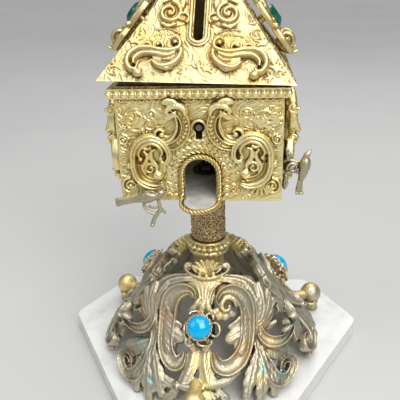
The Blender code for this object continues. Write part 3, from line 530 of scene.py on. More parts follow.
# ---------------------------------------------------------------- surfaces to draw on
def plane(origin, u, v):
    """Maps (u, v, h) points onto a plane with its origin in millimetres."""
    u = np.array(Vector(u).normalized())
    v = np.array(Vector(v).normalized())
    n = np.cross(u, v)
    base = np.array(origin, float)

    def place(points):
        return base + points[:, :1] * u + points[:, 1:2] * v + points[:, 2:3] * n

    return place


def wall_place(side):
    out = BOX
    return {
        "front": plane((0, -out, 0), (1, 0, 0), (0, 0, 1)),
        "right": plane((out, 0, 0), (0, 1, 0), (0, 0, 1)),
        "back": plane((0, out, 0), (-1, 0, 0), (0, 0, 1)),
        "left": plane((-out, 0, 0), (0, -1, 0), (0, 0, 1)),
    }[side]


def roof_place(side):
    turn = {"front": 0, "right": 90, "back": 180, "left": 270}[side]
    rotation = Matrix.Rotation(math.radians(turn), 3, "Z")
    origin = rotation @ Vector((0, -EAVE, EAVE_Z))
    u = rotation @ Vector((1, 0, 0))
    v = rotation @ Vector((0, math.cos(SLOPE), math.sin(SLOPE)))
    return plane(origin, u, v)


PROFILE_STEPS = np.hypot(*np.diff(FOOT_PROFILE, axis=0).T)
PROFILE_S = np.concatenate([[0], np.cumsum(PROFILE_STEPS)])
PROFILE_DENSE = spline(FOOT_PROFILE, 200)
DENSE_S = np.linspace(0, PROFILE_S[-1], 200)


PROFILE_SLOPE = np.gradient(PROFILE_DENSE, axis=0)
PROFILE_SLOPE /= np.linalg.norm(PROFILE_SLOPE, axis=1)[:, None]


def foot_place(points):
    """Maps (across, down, out) onto the bowed panel that faces local +X."""
    across, down, out = points[:, 0], points[:, 1], points[:, 2]
    s = np.clip(down, 0, PROFILE_S[-1])
    over = down - s
    r = np.interp(s, DENSE_S, PROFILE_DENSE[:, 0])
    z = np.interp(s, DENSE_S, PROFILE_DENSE[:, 1])
    dr = np.interp(s, DENSE_S, PROFILE_SLOPE[:, 0])
    dz = np.interp(s, DENSE_S, PROFILE_SLOPE[:, 1])
    radius = r + over * dr - out * dz - across**2 / (2 * PANEL_BOW)
    side = across - out * dz * across / PANEL_BOW
    height = np.maximum(z + over * dz + out * dr, PLINTH_TOP + 0.35)
    return np.stack([radius, side, height], 1)


# ---------------------------------------------------------------- pieces
def finish_piece(name, mesh, look, body, stands_for=(), smooth=True, angle=None):
    obj = bpy.data.objects.new(name, mesh)
    bpy.context.scene.collection.objects.link(obj)
    mesh.materials.clear()
    mesh.materials.append(LOOKS[look])
    if smooth:
        mesh.shade_smooth()
    if angle:
        mesh.set_sharp_from_angle(angle=math.radians(angle))
    if stands_for:
        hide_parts(*stands_for)
    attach(obj, body)
    return obj


def evaluated_mesh(mesh, setup):
    """Runs modifiers on a mesh and returns the result."""
    guide = bpy.data.objects.new("working", mesh)
    bpy.context.scene.collection.objects.link(guide)
    setup(guide)
    bpy.context.view_layer.update()
    graph = bpy.context.evaluated_depsgraph_get()
    made = bpy.data.meshes.new_from_object(guide.evaluated_get(graph))
    bpy.data.objects.remove(guide)
    return made


def fuse(mesh, voxel, rounds=3):
    """Voxel remesh that turns overlapping shells into one skin, then relaxes its steps."""

    def setup(guide):
        remesh = guide.modifiers.new("fuse", "REMESH")
        remesh.mode = "VOXEL"
        remesh.voxel_size = voxel * MM * 1.0
        if rounds:
            relax = guide.modifiers.new("relax", "SMOOTH")
            relax.factor = 0.5
            relax.iterations = rounds

    return evaluated_mesh(mesh, setup)


def cut(mesh, cutters):
    """Exact Boolean difference with each cutter mesh in turn."""
    for cutter in cutters:
        tool = bpy.data.objects.new("cutter", cutter)
        bpy.context.scene.collection.objects.link(tool)

        def setup(guide):
            modifier = guide.modifiers.new("cut", "BOOLEAN")
            modifier.operation = "DIFFERENCE"
            modifier.object = tool

        mesh = evaluated_mesh(mesh, setup)
        bpy.data.objects.remove(tool)
    return mesh


def prism(outline, place, low, high):
    """Closed prism over a (u, v) outline between two heights."""
    count = len(outline)
    points = [(u, v, low) for u, v in outline] + [(u, v, high) for u, v in outline]
    faces = [tuple(range(count))[::-1], tuple(range(count, 2 * count))]
    for i in range(count):
        j = (i + 1) % count
        faces.append((i, j, j + count, i + count))
    made = bpy.data.meshes.new("prism")
    made.from_pydata((place(np.array(points, float)) * MM).tolist(), [], faces)
    bm = bmesh.new()
    bm.from_mesh(made)
    bmesh.ops.recalc_face_normals(bm, faces=bm.faces)
    bm.to_mesh(made)
    bm.free()
    return made


def arc(cx, cy, radius, start, end, steps, squash=1.0):
    angles = np.radians(np.linspace(start, end, steps + 1))
    return [(cx + radius * math.cos(a), cy + radius * squash * math.sin(a)) for a in angles]


def tube(casting, points, radius, closed=False, sides=10):
    """Round wire along 3-D points in millimetres; radius may be one number or one per point."""
    pts = np.asarray(points, float)
    count = len(pts)
    radii = np.broadcast_to(np.asarray(radius, float), (count,))
    if closed:
        along = np.roll(pts, -1, 0) - np.roll(pts, 1, 0)
    else:
        along = np.gradient(pts, axis=0)
    along /= np.linalg.norm(along, axis=1)[:, None]
    up = np.array([0.13, 0.21, 1.0]) if abs(along[0][2]) < 0.9 else np.array([1.0, 0.2, 0.1])
    rings = []
    for point, axis, r in zip(pts, along, radii):
        first = np.cross(axis, up)
        first /= np.linalg.norm(first)
        second = np.cross(axis, first)
        up = second * np.sign(second @ up)
        for k in range(sides):
            a = 2 * math.pi * k / sides
            rings.append(point + r * (math.cos(a) * first + math.sin(a) * second))
    faces = []
    last = count if closed else count - 1
    for i in range(last):
        for k in range(sides):
            a, b = i * sides + k, i * sides + (k + 1) % sides
            c, d = ((i + 1) % count) * sides + k, ((i + 1) % count) * sides + (k + 1) % sides
            faces.append((a, c, d, b))
    if not closed:
        faces.append(tuple(range(sides)))
        faces.append(tuple(range((count - 1) * sides, count * sides))[::-1])
    casting.add(rings, faces)


def drawn(controls, place, count=24):
    """Smooth 3-D path through (u, v, h) controls on a surface."""
    return place(spline(controls, count))


def lathe(profile, segments=96, ripple=None):
    """Closed turned mesh from (radius, z) points that start and end on the axis."""
    rows = []
    angles = np.linspace(0, 2 * math.pi, segments, endpoint=False)
    for i, (r, z) in enumerate(profile):
        grow = ripple(r, z, angles) if ripple else 0.0
        reach = r + grow * np.ones(segments)
        rows.append(np.stack([reach * np.cos(angles), reach * np.sin(angles), np.full(segments, z)], 1))
    grid = np.array(rows)
    bm = bmesh.new()
    rings = [[bm.verts.new(p * MM) for p in row] for row in grid]
    for low, high in zip(rings, rings[1:]):
        for k in range(segments):
            j = (k + 1) % segments
            bm.faces.new((low[k], low[j], high[j], high[k]))
    bm.faces.new(rings[0][::-1])
    bm.faces.new(rings[-1])
    bmesh.ops.recalc_face_normals(bm, faces=bm.faces)
    made = bpy.data.meshes.new("turned")
    bm.to_mesh(made)
    bm.free()
    return made


# ---------------------------------------------------------------- chased relief
class Relief:
    """Height field in millimetres on a (u, v) grid: strokes and knobs are pressed up from it."""

    def __init__(self, u_range, v_range, step):
        step *= 1.0
        self.u = np.linspace(*u_range, int((u_range[1] - u_range[0]) / step) + 1)
        self.v = np.linspace(*v_range, int((v_range[1] - v_range[0]) / step) + 1)
        self.height = np.zeros((len(self.v), len(self.u)))

    def window(self, low, high):
        i0, i1 = np.searchsorted(self.u, (low[0], high[0]))
        j0, j1 = np.searchsorted(self.v, (low[1], high[1]))
        return slice(j0, j1), slice(i0, i1)

    def stroke(self, controls, height, sunk=False):
        """Rounded stroke along (u, v, half width) controls; a sunk one is pressed in instead."""
        path = spline(controls, max(6, len(controls) * 4))
        reach = path[:, 2].max() + 0.1
        rows, cols = self.window(path[:, :2].min(0) - reach, path[:, :2].max(0) + reach)
        uu, vv = np.meshgrid(self.u[cols], self.v[rows])
        if uu.size == 0:
            return
        rise = np.zeros_like(uu)
        for (u, v, half) in path:
            near = 1 - ((uu - u) ** 2 + (vv - v) ** 2) / max(half, 0.12) ** 2
            np.maximum(rise, np.sqrt(np.clip(near, 0, 1)) * min(1.0, half / 0.35), out=rise)
        field = self.height[rows, cols]
        if sunk:
            field -= height * rise
        else:
            np.maximum(field, height * rise, out=field)

    def knob(self, u, v, radius, height):
        self.stroke([(u - 0.01, v, radius), (u, v, radius)], height)

    def curl(self, u, v, radius, start, turns, half, height):
        """Spiral tendril that ends in a round eye."""
        controls = spiral(u, v, radius, radius * 0.28, start, turns, half, half * 0.75, 0.0, 8)
        self.stroke([c[:3] for c in controls], height)
        self.knob(u, v, radius * 0.26, height * 1.1)

    def sprig(self, u, v, angle, length, height, spread=5):
        """Leaf of small curved lobes that fan from a root."""
        for k in range(spread):
            share = k / (spread - 1) - 0.5
            a = math.radians(angle + share * 110)
            reach = length * (1 - 0.9 * share**2)
            bend = a + share * 0.9
            middle = (u + 0.55 * reach * math.cos(a), v + 0.55 * reach * math.sin(a), length * 0.13)
            tip = (u + reach * math.cos(bend), v + reach * math.sin(bend), length * 0.05)
            self.stroke([(u, v, length * 0.07), middle, tip], height)

    def foliage(self, seed, spacing, keep_out, height=0.45):
        """Fills the free ground with curls and sprigs in a fixed random order."""
        rng = np.random.default_rng(seed)
        placed = []
        tries = int(14 * (self.u[-1] - self.u[0]) * (self.v[-1] - self.v[0]) / spacing**2)
        for _ in range(tries):
            u = rng.uniform(self.u[0] + 1.5, self.u[-1] - 1.5)
            v = rng.uniform(self.v[0] + 1.5, self.v[-1] - 1.5)
            size = spacing * rng.uniform(0.36, 0.62)
            start, side, kind = rng.uniform(0, 360), rng.choice([-1, 1]), rng.uniform()
            if keep_out(u, v, size) or any(math.hypot(u - a, v - b) < 0.9 * (size + c) for a, b, c in placed):
                continue
            placed.append((u, v, size))
            self.curl(u, v, size, start, 1.25 * side, 0.42, height)
            if kind > 0.35:
                heading = start + 150 * side
                root = (u + size * math.cos(math.radians(heading)), v + size * math.sin(math.radians(heading)))
                self.sprig(*root, heading + 40 * side, size * 1.15, height * 0.9, 4)
        return placed

    def flow(self, seed, pitch, amount, swirl=5.0, reach=11.0):
        """Ground of fine curling tool lines, laid down under the raised ornament."""
        rng = np.random.default_rng(seed)
        uu, vv = np.meshgrid(self.u, self.v)
        warp = np.zeros_like(uu)
        tone = np.zeros_like(uu)
        for k in range(5):
            a, b, c, d = rng.uniform(0, 2 * math.pi, 4)
            size = 2 * math.pi / (reach * rng.uniform(0.6, 1.3))
            warp += swirl * np.sin(size * (uu * math.cos(a) + vv * math.sin(a)) + b) / (1 + 0.3 * k)
            tone += np.sin(1.7 * size * (uu * math.cos(c) + vv * math.sin(c)) + d) / 5
        lines = np.sin(2 * math.pi * (0.6 * uu + 0.8 * vv) / pitch / 3 + warp)
        ridge = np.clip(lines, -0.5, 1.0) * np.clip(0.75 + 0.6 * tone, 0.15, 1.2)
        free = np.clip(1 - self.height / 0.25, 0, 1)
        self.height += amount * ridge * (0.25 + 0.75 * free)

    def grain(self, seed, amount):
        """Fine unevenness left by the punches."""
        rng = np.random.default_rng(seed)
        rough = rng.normal(0, 1, self.height.shape)
        for _ in range(2):
            rough = (rough + np.roll(rough, 1, 0) + np.roll(rough, 1, 1) + np.roll(rough, -1, 0)) / 4
        self.height += amount * rough

    def fade(self, margin):
        """Brings the relief down to nothing along the edges."""
        across = np.clip(np.minimum(self.u - self.u[0], self.u[-1] - self.u) / margin, 0, 1)
        up = np.clip(np.minimum(self.v - self.v[0], self.v[-1] - self.v) / margin, 0, 1)
        self.height *= np.minimum.outer(up, across)

    def plate(self, place, depth, warp=None):
        """Closed plate with the relief on its outer face."""
        uu, vv = np.meshgrid(self.u, self.v)
        top = np.stack([uu, vv, self.height], -1)
        bottom = np.stack([uu, vv, np.full_like(uu, -depth)], -1)
        if warp:
            top, bottom = warp(top), warp(bottom)
        casting = Casting()
        casting.slab(top, bottom, place)
        made = casting.mesh("plate")
        return made


# ---------------------------------------------------------------- foot
# Controls on the panel are (across, down, half width, lift), all in millimetres, for the right-hand side.
BIG_SCROLL = [
    (10.2, 29.6, 0.6, 3.4),
    (9.4, 31.6, 0.9, 3.4),
    (7.2, 31.0, 1.1, 3.2),
    (6.4, 28.2, 1.5, 3.2),
    (8.2, 25.4, 2.2, 3.2),
    (12.2, 24.8, 2.9, 3.0),
    (16.2, 27.4, 3.4, 2.6),
    (18.8, 32.2, 3.5, 2.2),
    (19.6, 37.6, 3.5, 2.0),
    (19.8, 43.4, 3.5, 2.0),
    (19.6, 49.4, 3.6, 2.0),
    (18.6, 55.4, 4.1, 2.0),
    (15.8, 60.2, 4.6, 2.0),
    (11.4, 62.6, 4.4, 2.0),
    (7.2, 61.4, 3.4, 1.9),
    (5.2, 57.8, 2.0, 1.8),
    (4.6, 54.4, 0.9, 1.6),
]
HOOK_SCROLL = [
    (-5.6, 28.2, 1.0, 2.8),
    (-6.0, 25.6, 1.8, 3.0),
    (-8.8, 24.6, 2.8, 3.0),
    (-12.8, 26.0, 3.7, 2.8),
    (-15.9, 29.6, 4.3, 2.4),
    (-17.3, 35.0, 4.5, 2.2),
    (-17.9, 41.0, 4.4, 2.0),
    (-18.4, 47.0, 4.2, 2.0),
    (-18.7, 52.8, 4.2, 2.0),
    (-17.6, 58.2, 4.5, 2.0),
    (-14.8, 61.6, 4.3, 2.0),
    (-11.8, 61.2, 3.2, 1.9),
    (-10.0, 57.8, 1.9, 1.8),
    (-9.8, 54.6, 0.9, 1.6),
]
EYE_SCROLL = [(14.4, 32.6, 0.9, 3.0), (12.8, 28.8, 1.2, 3.8), (9.6, 28.0, 1.3, 4.2), (7.6, 30.6, 1.3, 4.4)]
EYE_SCROLL += [(8.6, 33.4, 1.2, 4.4), (11.0, 32.8, 1.0, 4.6), (10.6, 30.9, 0.7, 4.6)]
OUTER_STRAP = [
    (3.5, 18.6, 1.4, 1.8),
    (8.4, 18.6, 2.2, 2.0),
    (14.2, 19.8, 2.5, 2.0),
    (19.8, 22.8, 2.8, 1.8),
    (23.8, 28.4, 2.9, 1.6),
    (25.2, 34.6, 2.6, 1.6),
    (25.2, 42.0, 2.4, 1.6),
    (25.0, 50.0, 2.3, 1.5),
    (26.0, 57.5, 2.5, 1.4),
    (28.4, 65.5, 2.7, 1.2),
    (30.2, 72.5, 2.2, 1.0),
]
# Acanthus between two curves, with its height and number of lobes
INNER_ACANTHUS = (
    [(19.0, 34.0, 1.8), (20.6, 41.0, 2.0), (20.8, 49.0, 2.0), (20.0, 58.0, 1.8)],
    [(15.4, 38.6, 1.8), (10.8, 41.6, 2.2), (9.0, 46.4, 2.4), (10.6, 51.6, 2.2), (14.4, 54.8, 2.0), (17.4, 59.6, 1.8)],
    1.8,
    3,
)
OUTER_ACANTHUS = (
    [(10.4, 20.4, 1.4), (17.0, 21.6, 1.4), (22.6, 27.0, 1.4), (24.8, 34.0, 1.4), (25.0, 42.0, 1.2), (25.0, 49.0, 1.0)],
    [(8.6, 17.0, 1.0), (18.0, 17.6, 1.0), (26.4, 23.0, 1.0), (31.6, 29.8, 0.8), (32.6, 36.8, 0.8), (28.8, 44.4, 1.0)],
    1.2,
    5,
)
# Leaflets as controls, height, lobes
OUTER_LEAVES = [
    ([(24.8, 48.0, 1.0, 1.8), (24.0, 34.0, 2.3, 3.0), (18.6, 22.0, 1.5, 2.2)], 1.6, 3),
    ([(25.2, 48.0, 1.0, 1.8), (26.4, 34.6, 2.5, 3.2), (24.8, 23.6, 1.6, 2.2)], 1.6, 3),
    ([(25.6, 48.5, 1.0, 1.8), (28.2, 37.2, 2.5, 3.2), (29.8, 27.8, 1.6, 2.0)], 1.6, 3),
    ([(26.0, 49.0, 1.0, 1.8), (29.6, 40.8, 2.3, 2.8), (32.8, 33.4, 1.6, 1.8)], 1.5, 3),
    ([(26.2, 49.5, 1.0, 1.8), (29.8, 44.6, 2.0, 2.4), (32.4, 39.4, 1.4, 1.6)], 1.4, 2),
]
LOWER_LEAVES = [
    ([(25.0, 57.0, 1.4, 1.8), (22.6, 67.0, 3.5, 2.2), (20.0, 79.0, 1.6, 1.2)], 1.6, 4),
    ([(27.2, 61.0, 1.4, 1.8), (27.8, 71.5, 3.6, 2.2), (27.0, 84.0, 1.6, 1.0)], 1.6, 4),
    ([(29.0, 65.0, 1.3, 1.6), (33.2, 74.5, 3.0, 2.0), (34.6, 83.0, 1.5, 1.0)], 1.4, 3),
    ([(36.0, 76.0, 1.0, 1.4), (39.6, 77.6, 2.0, 1.6), (43.2, 80.0, 1.0, 1.2)], 1.0, 2),
]
SPOON = [
    (25.2, 45.5, 1.2, 2.0),
    (27.0, 51.5, 2.1, 3.0),
    (31.0, 56.4, 2.8, 4.2),
    (36.2, 57.8, 2.8, 4.8),
    (39.6, 54.6, 1.9, 4.8),
    (38.6, 51.6, 0.9, 4.6),
]
LOWER_VOLUTE = [
    (26.8, 57.5, 1.2, 1.2),
    (29.8, 66.0, 2.2, 1.6),
    (33.0, 73.6, 2.9, 1.8),
    (38.0, 77.0, 3.0, 1.8),
    (42.0, 73.6, 2.5, 1.8),
    (41.2, 69.4, 1.8, 2.0),
    (37.6, 68.6, 1.3, 2.2),
    (36.6, 71.4, 1.0, 2.3),
    (38.4, 72.6, 0.8, 2.3),
]
BROAD_LEAF = [(28.0, 55.0, 2.0, 0.8), (34.0, 61.0, 4.2, 1.6), (40.6, 66.6, 2.4, 1.0)]
LIP = [(7.4, 12.8), (8.2, 11.0), (10.0, 10.8), (10.9, 13.0), (9.4, 16.0), (5.4, 18.2), (0.3, 19.0)]
LIP += [(0.6 - u, v) for u, v in reversed(LIP[:-1])]
CENTRE_LEFT = (
    [(-5.0, 49.0, 1.4), (-7.6, 54.0, 2.0), (-8.6, 59.0, 2.0), (-10.2, 64.0, 1.6), (-12.6, 70.0, 1.4)],
    [(-2.2, 49.0, 1.4), (-2.0, 54.0, 2.0), (-2.4, 59.0, 1.8), (-3.6, 64.0, 1.6), (-6.4, 70.0, 1.4)],
)
CENTRE_RIGHT = (
    [(-2.6, 49.0, 1.4), (-2.4, 54.0, 2.0), (-2.6, 59.0, 1.8), (-2.2, 64.0, 1.6), (-2.4, 70.0, 1.4)],
    [(2.0, 49.0, 1.4), (3.2, 54.0, 2.0), (3.0, 58.5, 2.0), (4.4, 64.0, 1.6), (8.4, 68.4, 1.4)],
)


def foot_shell(cast):
    """Scallop inside a wide double lip with curled ends and three drops."""
    bowl = [(-10.2, 12.8, 0.8), (-6.6, 17.8, 1.2), (0.3, 19.2, 1.4), (7.2, 17.8, 1.2), (10.8, 12.8, 0.8)]
    rim = [(-9.6, 10.0, 0.8), (-4.4, 8.8, 1.2), (0.3, 8.2, 1.4), (5.0, 8.8, 1.2), (10.2, 10.0, 0.8)]
    field(cast, bowl, rim, 0.4, foot_place, thick=3.4)
    fan(cast, (0.3, 15.8), 8.2, 198, 342, 7, 3.6, foot_place, 1.4, 2.6)
    ribbon(cast, [(u, v, 1.0, 2.6) for u, v in LIP], ROUND, 1.6, foot_place, 2.8)
    inner = [(0.3 + 0.72 * (u - 0.3), v - 2.0, 0.6, 2.8) for u, v in LIP[3:-3]]
    ribbon(cast, inner, ROUND, 1.2, foot_place, 2.4)
    for u, v in ((-2.9, 16.4), (0.3, 17.4), (3.5, 16.4)):
        cast.ball((u, v, 3.9), 1.15, foot_place, (0.9, 1.5, 1))
    for u in (-8.6, 9.2):
        cast.ball((u, 12.2, 2.0), 2.2, foot_place, (1, 1.1, 0.55))
        cast.ball((u, 12.3, 3.0), 1.1, foot_place)


def foot_shield(cast):
    """Plain field under the shell that narrows to the gilt leaves over the stone."""
    left = [(-13.6, 19.0, 1.8), (-10.6, 20.6, 2.0), (-6.6, 24.4, 2.2), (-4.4, 28.2, 2.4), (-3.2, 32.6, 2.6)]
    right = [(13.6, 19.0, 1.8), (9.8, 20.2, 2.0), (5.6, 23.0, 2.2), (4.4, 27.4, 2.4), (2.8, 32.6, 2.6)]
    field(cast, left, right, 0.9, foot_place, thick=3.4)
    for share in (-0.62, -0.3, 0.0, 0.3, 0.62):
        line = [(0.3 + 10.4 * share, 20.2, 0.32, 2.2), (5.2 * share, 24.6, 0.34, 3.0), (3.0 * share - 0.2, 30.6, 0.3, 3.2)]
        ribbon(cast, line, ROUND, 0.55, foot_place, 1.2)
    for u, v, lean in ((-4.6, 31.4, -2.6), (-1.6, 33.0, -0.6), (1.8, 32.4, 1.4)):
        leaf(cast, [(0.5 * u, v - 4, 0.9, 2.8), (u, v, 1.7, 3.4), (u + lean, v + 3.2, 0.9, 2.6)], 1.1, foot_place, 2)


def foot_gilt_lobes(cast):
    """Spiral eye of the right-hand scroll and the wavy shell lobes that hang from it."""
    ribbon(cast, EYE_SCROLL, ROUND, 1.7, foot_place, 2.8)
    for u, v, r in ((4.2, 34.4, 1.8), (6.6, 36.4, 2.0), (9.4, 36.8, 2.1), (12.2, 35.6, 1.9)):
        lobe = [(9.0, 31.2, 1.0, 3.0), (u, v, r, 3.4), (u * 1.06, v + 1.8, r * 0.7, 3.0)]
        ribbon(cast, lobe, ROUND, 1.4, foot_place, 2.2)


def foot_side(cast, side):
    """Straps, leaves and curls of one side; side is 1 for the right and -1 for the left."""

    def place(points):
        return foot_place(points * np.array([side, 1, 1]))

    shift = 0.0 if side > 0 else -5.5
    for near, far, height, lobes in (INNER_ACANTHUS, OUTER_ACANTHUS):
        field(cast, near, far, height, place, lobes, 0.34, 2.2)
    filling = [(u, v, 0.6) for u, v, _, _ in OUTER_STRAP[2:9]]
    field(cast, filling, [(u, v, 0.6) for u, v, _, _ in BIG_SCROLL[5:13]], 0.2, place, thick=2.0)
    shoulder = [(2.0, 19.4, 0.9), (8.0, 19.6, 0.9), (14.0, 20.8, 0.9), (19.4, 24.4, 0.9)]
    head = [(4.6, 26.4, 1.2), (7.6, 24.6, 1.2), (12.4, 24.6, 1.2), (17.0, 28.0, 1.2)]
    field(cast, shoulder, head, 0.4, place, thick=2.2)
    ribbon(cast, OUTER_STRAP, STEM, 1.5, place, 2.4)
    for offset in (-1.5, 1.4):
        stem = [(u + offset, v, 0.55, lift + 1.0) for u, v, _, lift in OUTER_STRAP[5:]]
        ribbon(cast, stem, ROUND, 0.9, place, 1.4)
    for controls, height, lobes in OUTER_LEAVES + LOWER_LEAVES:
        leaf(cast, controls, height, place, lobes, 0.3, 1.8)
    spoon = [(u, v + shift, half, lift) for u, v, half, lift in SPOON]
    ribbon(cast, spoon, CHANNEL, 1.9, place, 1.6)
    cast.ball((36.6, 52.4 + shift, 7.0), 2.4, place)
    ribbon(cast, [(28.0, 51.0 + shift, 0.6, 2.6), (33.0, 60.0 + shift, 0.9, 3.4), (39.6, 59.6 + shift, 0.6, 3.6)],
           ROUND, 0.9, place, 1.6)
    ribbon(cast, LOWER_VOLUTE, CHANNEL, 1.9, place, 2.0)
    leaf(cast, BROAD_LEAF, 1.0, place, 2, 0.2, 1.6)
    ribbon(cast, [(26.0, 44.0, 1.4, 0.8), (30.0, 47.5, 2.2, 1.2), (34.5, 47.0 + shift, 1.6, 1.6)], STEM, 1.2, place, 1.6)


def foot_base(cast):
    """Petals, tie bar, shell and leaves at the bottom of the panel."""
    for near, far in (CENTRE_LEFT, CENTRE_RIGHT):
        field(cast, near, far, 1.6, foot_place, thick=2.4, ribs=2)
    ribbon(cast, [(-14.0, 71.0, 1.2, 1.8), (-6.5, 71.6, 1.8, 2.2), (0.5, 71.0, 1.2, 1.8)], ROUND, 1.8, foot_place, 2.4)
    for u in (-12.0, -1.4):
        ribbon(cast, [(u, 69.4, 0.8, 2.6), (u, 73.2, 0.8, 2.6)], ROUND, 1.8, foot_place, 2.6)
    ribbon(cast, [(0.0, 70.0, 1.6, 1.4), (5.0, 69.4, 2.4, 1.8), (11.0, 68.4, 2.2, 1.8), (17.0, 65.0, 1.4, 1.6)],
           ROUND, 1.4, foot_place, 2.2)
    fan(cast, (2.4, 72.0), 6.0, 20, 160, 6, 2.2, foot_place, 1.2, 2.4)
    leaf(cast, [(-13.0, 71.0, 1.4, 1.4), (-20.0, 73.0, 2.6, 1.8), (-27.0, 79.0, 1.4, 1.2)], 1.3, foot_place, 4, 0.34, 1.8)
    leaf(cast, [(-12.0, 72.5, 1.4, 1.4), (-16.0, 77.5, 2.6, 1.6), (-21.0, 83.5, 1.2, 1.0)], 1.3, foot_place, 3, 0.34, 1.8)
    leaf(cast, [(6.0, 71.0, 1.2, 1.2), (10.0, 76.0, 2.6, 1.6), (11.5, 82.0, 1.4, 1.0)], 1.2, foot_place, 3, 0.34, 1.8)
    ribbon(cast, [(-24.0, 66.0, 1.2, 1.2), (-19.0, 69.6, 2.0, 1.4), (-12.0, 71.0, 1.6, 1.6)], STEM, 1.2, foot_place, 2.0)


def straight(points):
    return points


def foot_ball(cast):
    """Pearl on the panel's toe with the neck and pad that carry it."""
    radius, across, height = BALL
    cast.ball((radius, across, height), BALL_R, straight, segments=36)
    tube(cast, [(52.5, across, 21.5), (60.0, across, 20.8), (radius, across, height)], 3.0)
    cup = [(radius - 1.6 + 4.6 * math.cos(a), across + 6.0 * math.sin(a), height - 4.2) for a in
           np.linspace(0, 2 * math.pi, 24, endpoint=False)]
    tube(cast, cup, 0.9, closed=True)
    tube(cast, [(radius + 1.5, across, PLINTH_TOP + 0.35), (radius + 0.8, across, height - 3)], [3.8, 2.6])


def paint_foot(mesh):
    """Marks where the gilding is still bright and where the copper has turned blue, on a panel facing +X."""
    points = np.empty(3 * len(mesh.vertices), np.float32)
    mesh.vertices.foreach_get("co", points)
    points = points.reshape(-1, 3) / MM
    across, height = points[:, 1], points[:, 2]
    gold = np.clip((height - 61.5) / 2.0, 0, 1) * np.clip((8.0 - np.abs(across)) / 2.5, 0, 1)
    neck = 0.45 * np.clip((height - 48.0) / 3.0, 0, 1) * np.clip((12.0 - np.abs(across)) / 4.0, 0, 1)
    gold = np.maximum(gold, neck)
    strip = np.clip((6.4 - np.abs(across + 0.6)) / 2.4, 0, 1) * np.clip((36.0 - height) / 4.0, 0, 1)
    curls = np.zeros_like(gold)
    for u, z, reach in ((8.0, 49.0, 5.0), (0.0, 50.0, 5.0), (-11.0, 54.0, 4.0), (12.0, 54.0, 4.0), (34.0, 31.0, 5.0), (28.0, 22.0, 4.5)):
        curls = np.maximum(curls, np.clip(1.6 - np.hypot(across - u, height - z) / reach * 1.6, 0, 1))
    blue = np.zeros_like(gold)
    for u, z, reach in ((-34.0, 31.0, 5.0), (-27.0, 20.0, 3.6), (29.0, 24.0, 3.4), (39.0, 19.0, 3.6)):
        blue = np.maximum(blue, np.clip(1.4 - np.hypot(across - u, height - z) / reach * 1.4, 0, 1))
    for name, values in (("gold_zone", np.maximum(np.maximum(gold, strip), 0.8 * curls)), ("blue_zone", 0.6 * blue)):
        layer = mesh.attributes.new(name, "FLOAT", "POINT")
        layer.data.foreach_set("value", np.clip(values, 0, 1).astype(np.float32))


def make_foot_panels():
    cast = Casting()
    ribbon(cast, BIG_SCROLL, CHANNEL, 2.6, foot_place, 2.6)
    ribbon(cast, HOOK_SCROLL, CHANNEL, 2.6, foot_place, 2.6)
    foot_shell(cast)
    foot_shield(cast)
    foot_gilt_lobes(cast)
    foot_side(cast, 1)
    foot_side(cast, -1)
    foot_base(cast)
    foot_ball(cast)
    mesh = fuse(cast.mesh("foot_panel"), 0.38, 1)
    paint_foot(mesh)
    for side, angle in PANEL_ANGLES.items():
        turned = mesh.copy()
        turned.transform(Matrix.Rotation(math.radians(angle), 4, "Z"))
        finish_piece(f"foot_casting_{side}", turned, "antique_gilt", "stand", [f"foot_panel_{side}"])


# ---------------------------------------------------------------- box walls
def arch_outline(half):
    return [(half, BOX_Z - 2)] + arc(0, ARCH_SPRING, half, 0, 180, 28) + [(-half, BOX_Z - 2)]


def key_outline():
    half, low = KEY_SLOT
    gap = math.degrees(math.asin(half / KEY_R))
    return arc(0, KEY_Z, KEY_R, -90 + gap, 270 - gap, 28) + [(-half, low), (half, low)]


def near_front_mounts(u, v, size):
    """True where the front wall carries a casting, the arch or the keyhole."""
    a = abs(u)
    arch = a < 15.5 + size and v < ARCH_SPRING + 14 + size
    lock = a < 5.5 + size and v > 134
    scroll = 4 - size < a < 17.5 + size and 136 - size < v < 156.5 + size
    cartouche = math.hypot((a - 22.2) / 1.0, (v - 130) / 1.4) < 7.4 + size
    corner = a > 19 - size and v < 121 + size
    return arch or lock or scroll or cartouche or corner or v > 155.5 - size


def chase_arch(relief):
    """Rows of feather strokes that run round the arch and down beside it."""
    for ring, (inner, outer) in enumerate(((9.6, 12.4), (12.0, 15.4), (15.0, 18.2))):
        for k in range(17 + 2 * ring):
            angle = math.radians(-8 + (196 / (16 + 2 * ring)) * (k + 0.5 * (ring % 2)))
            lean = angle + 0.16
            start = (inner * math.cos(angle), ARCH_SPRING + inner * math.sin(angle), 0.35)
            middle = (0.5 * (inner + outer) * math.cos(lean), ARCH_SPRING + 0.5 * (inner + outer) * math.sin(lean), 0.8)
            end = (outer * math.cos(angle), ARCH_SPRING + outer * math.sin(angle), 0.3)
            relief.stroke([start, middle, end], 0.5)
    for side in (-1, 1):
        for row in range(6):
            v = BOX_Z + 1.4 + 2.1 * row
            for column in range(3):
                u = side * (9.6 + 3.1 * column)
                lift = 0.8 * (column + row % 2)
                relief.stroke([(u, v + lift, 0.35), (u + side * 1.6, v + lift + 1.3, 0.7),
                               (u + side * 3.2, v + lift + 0.8, 0.3)], 0.5)


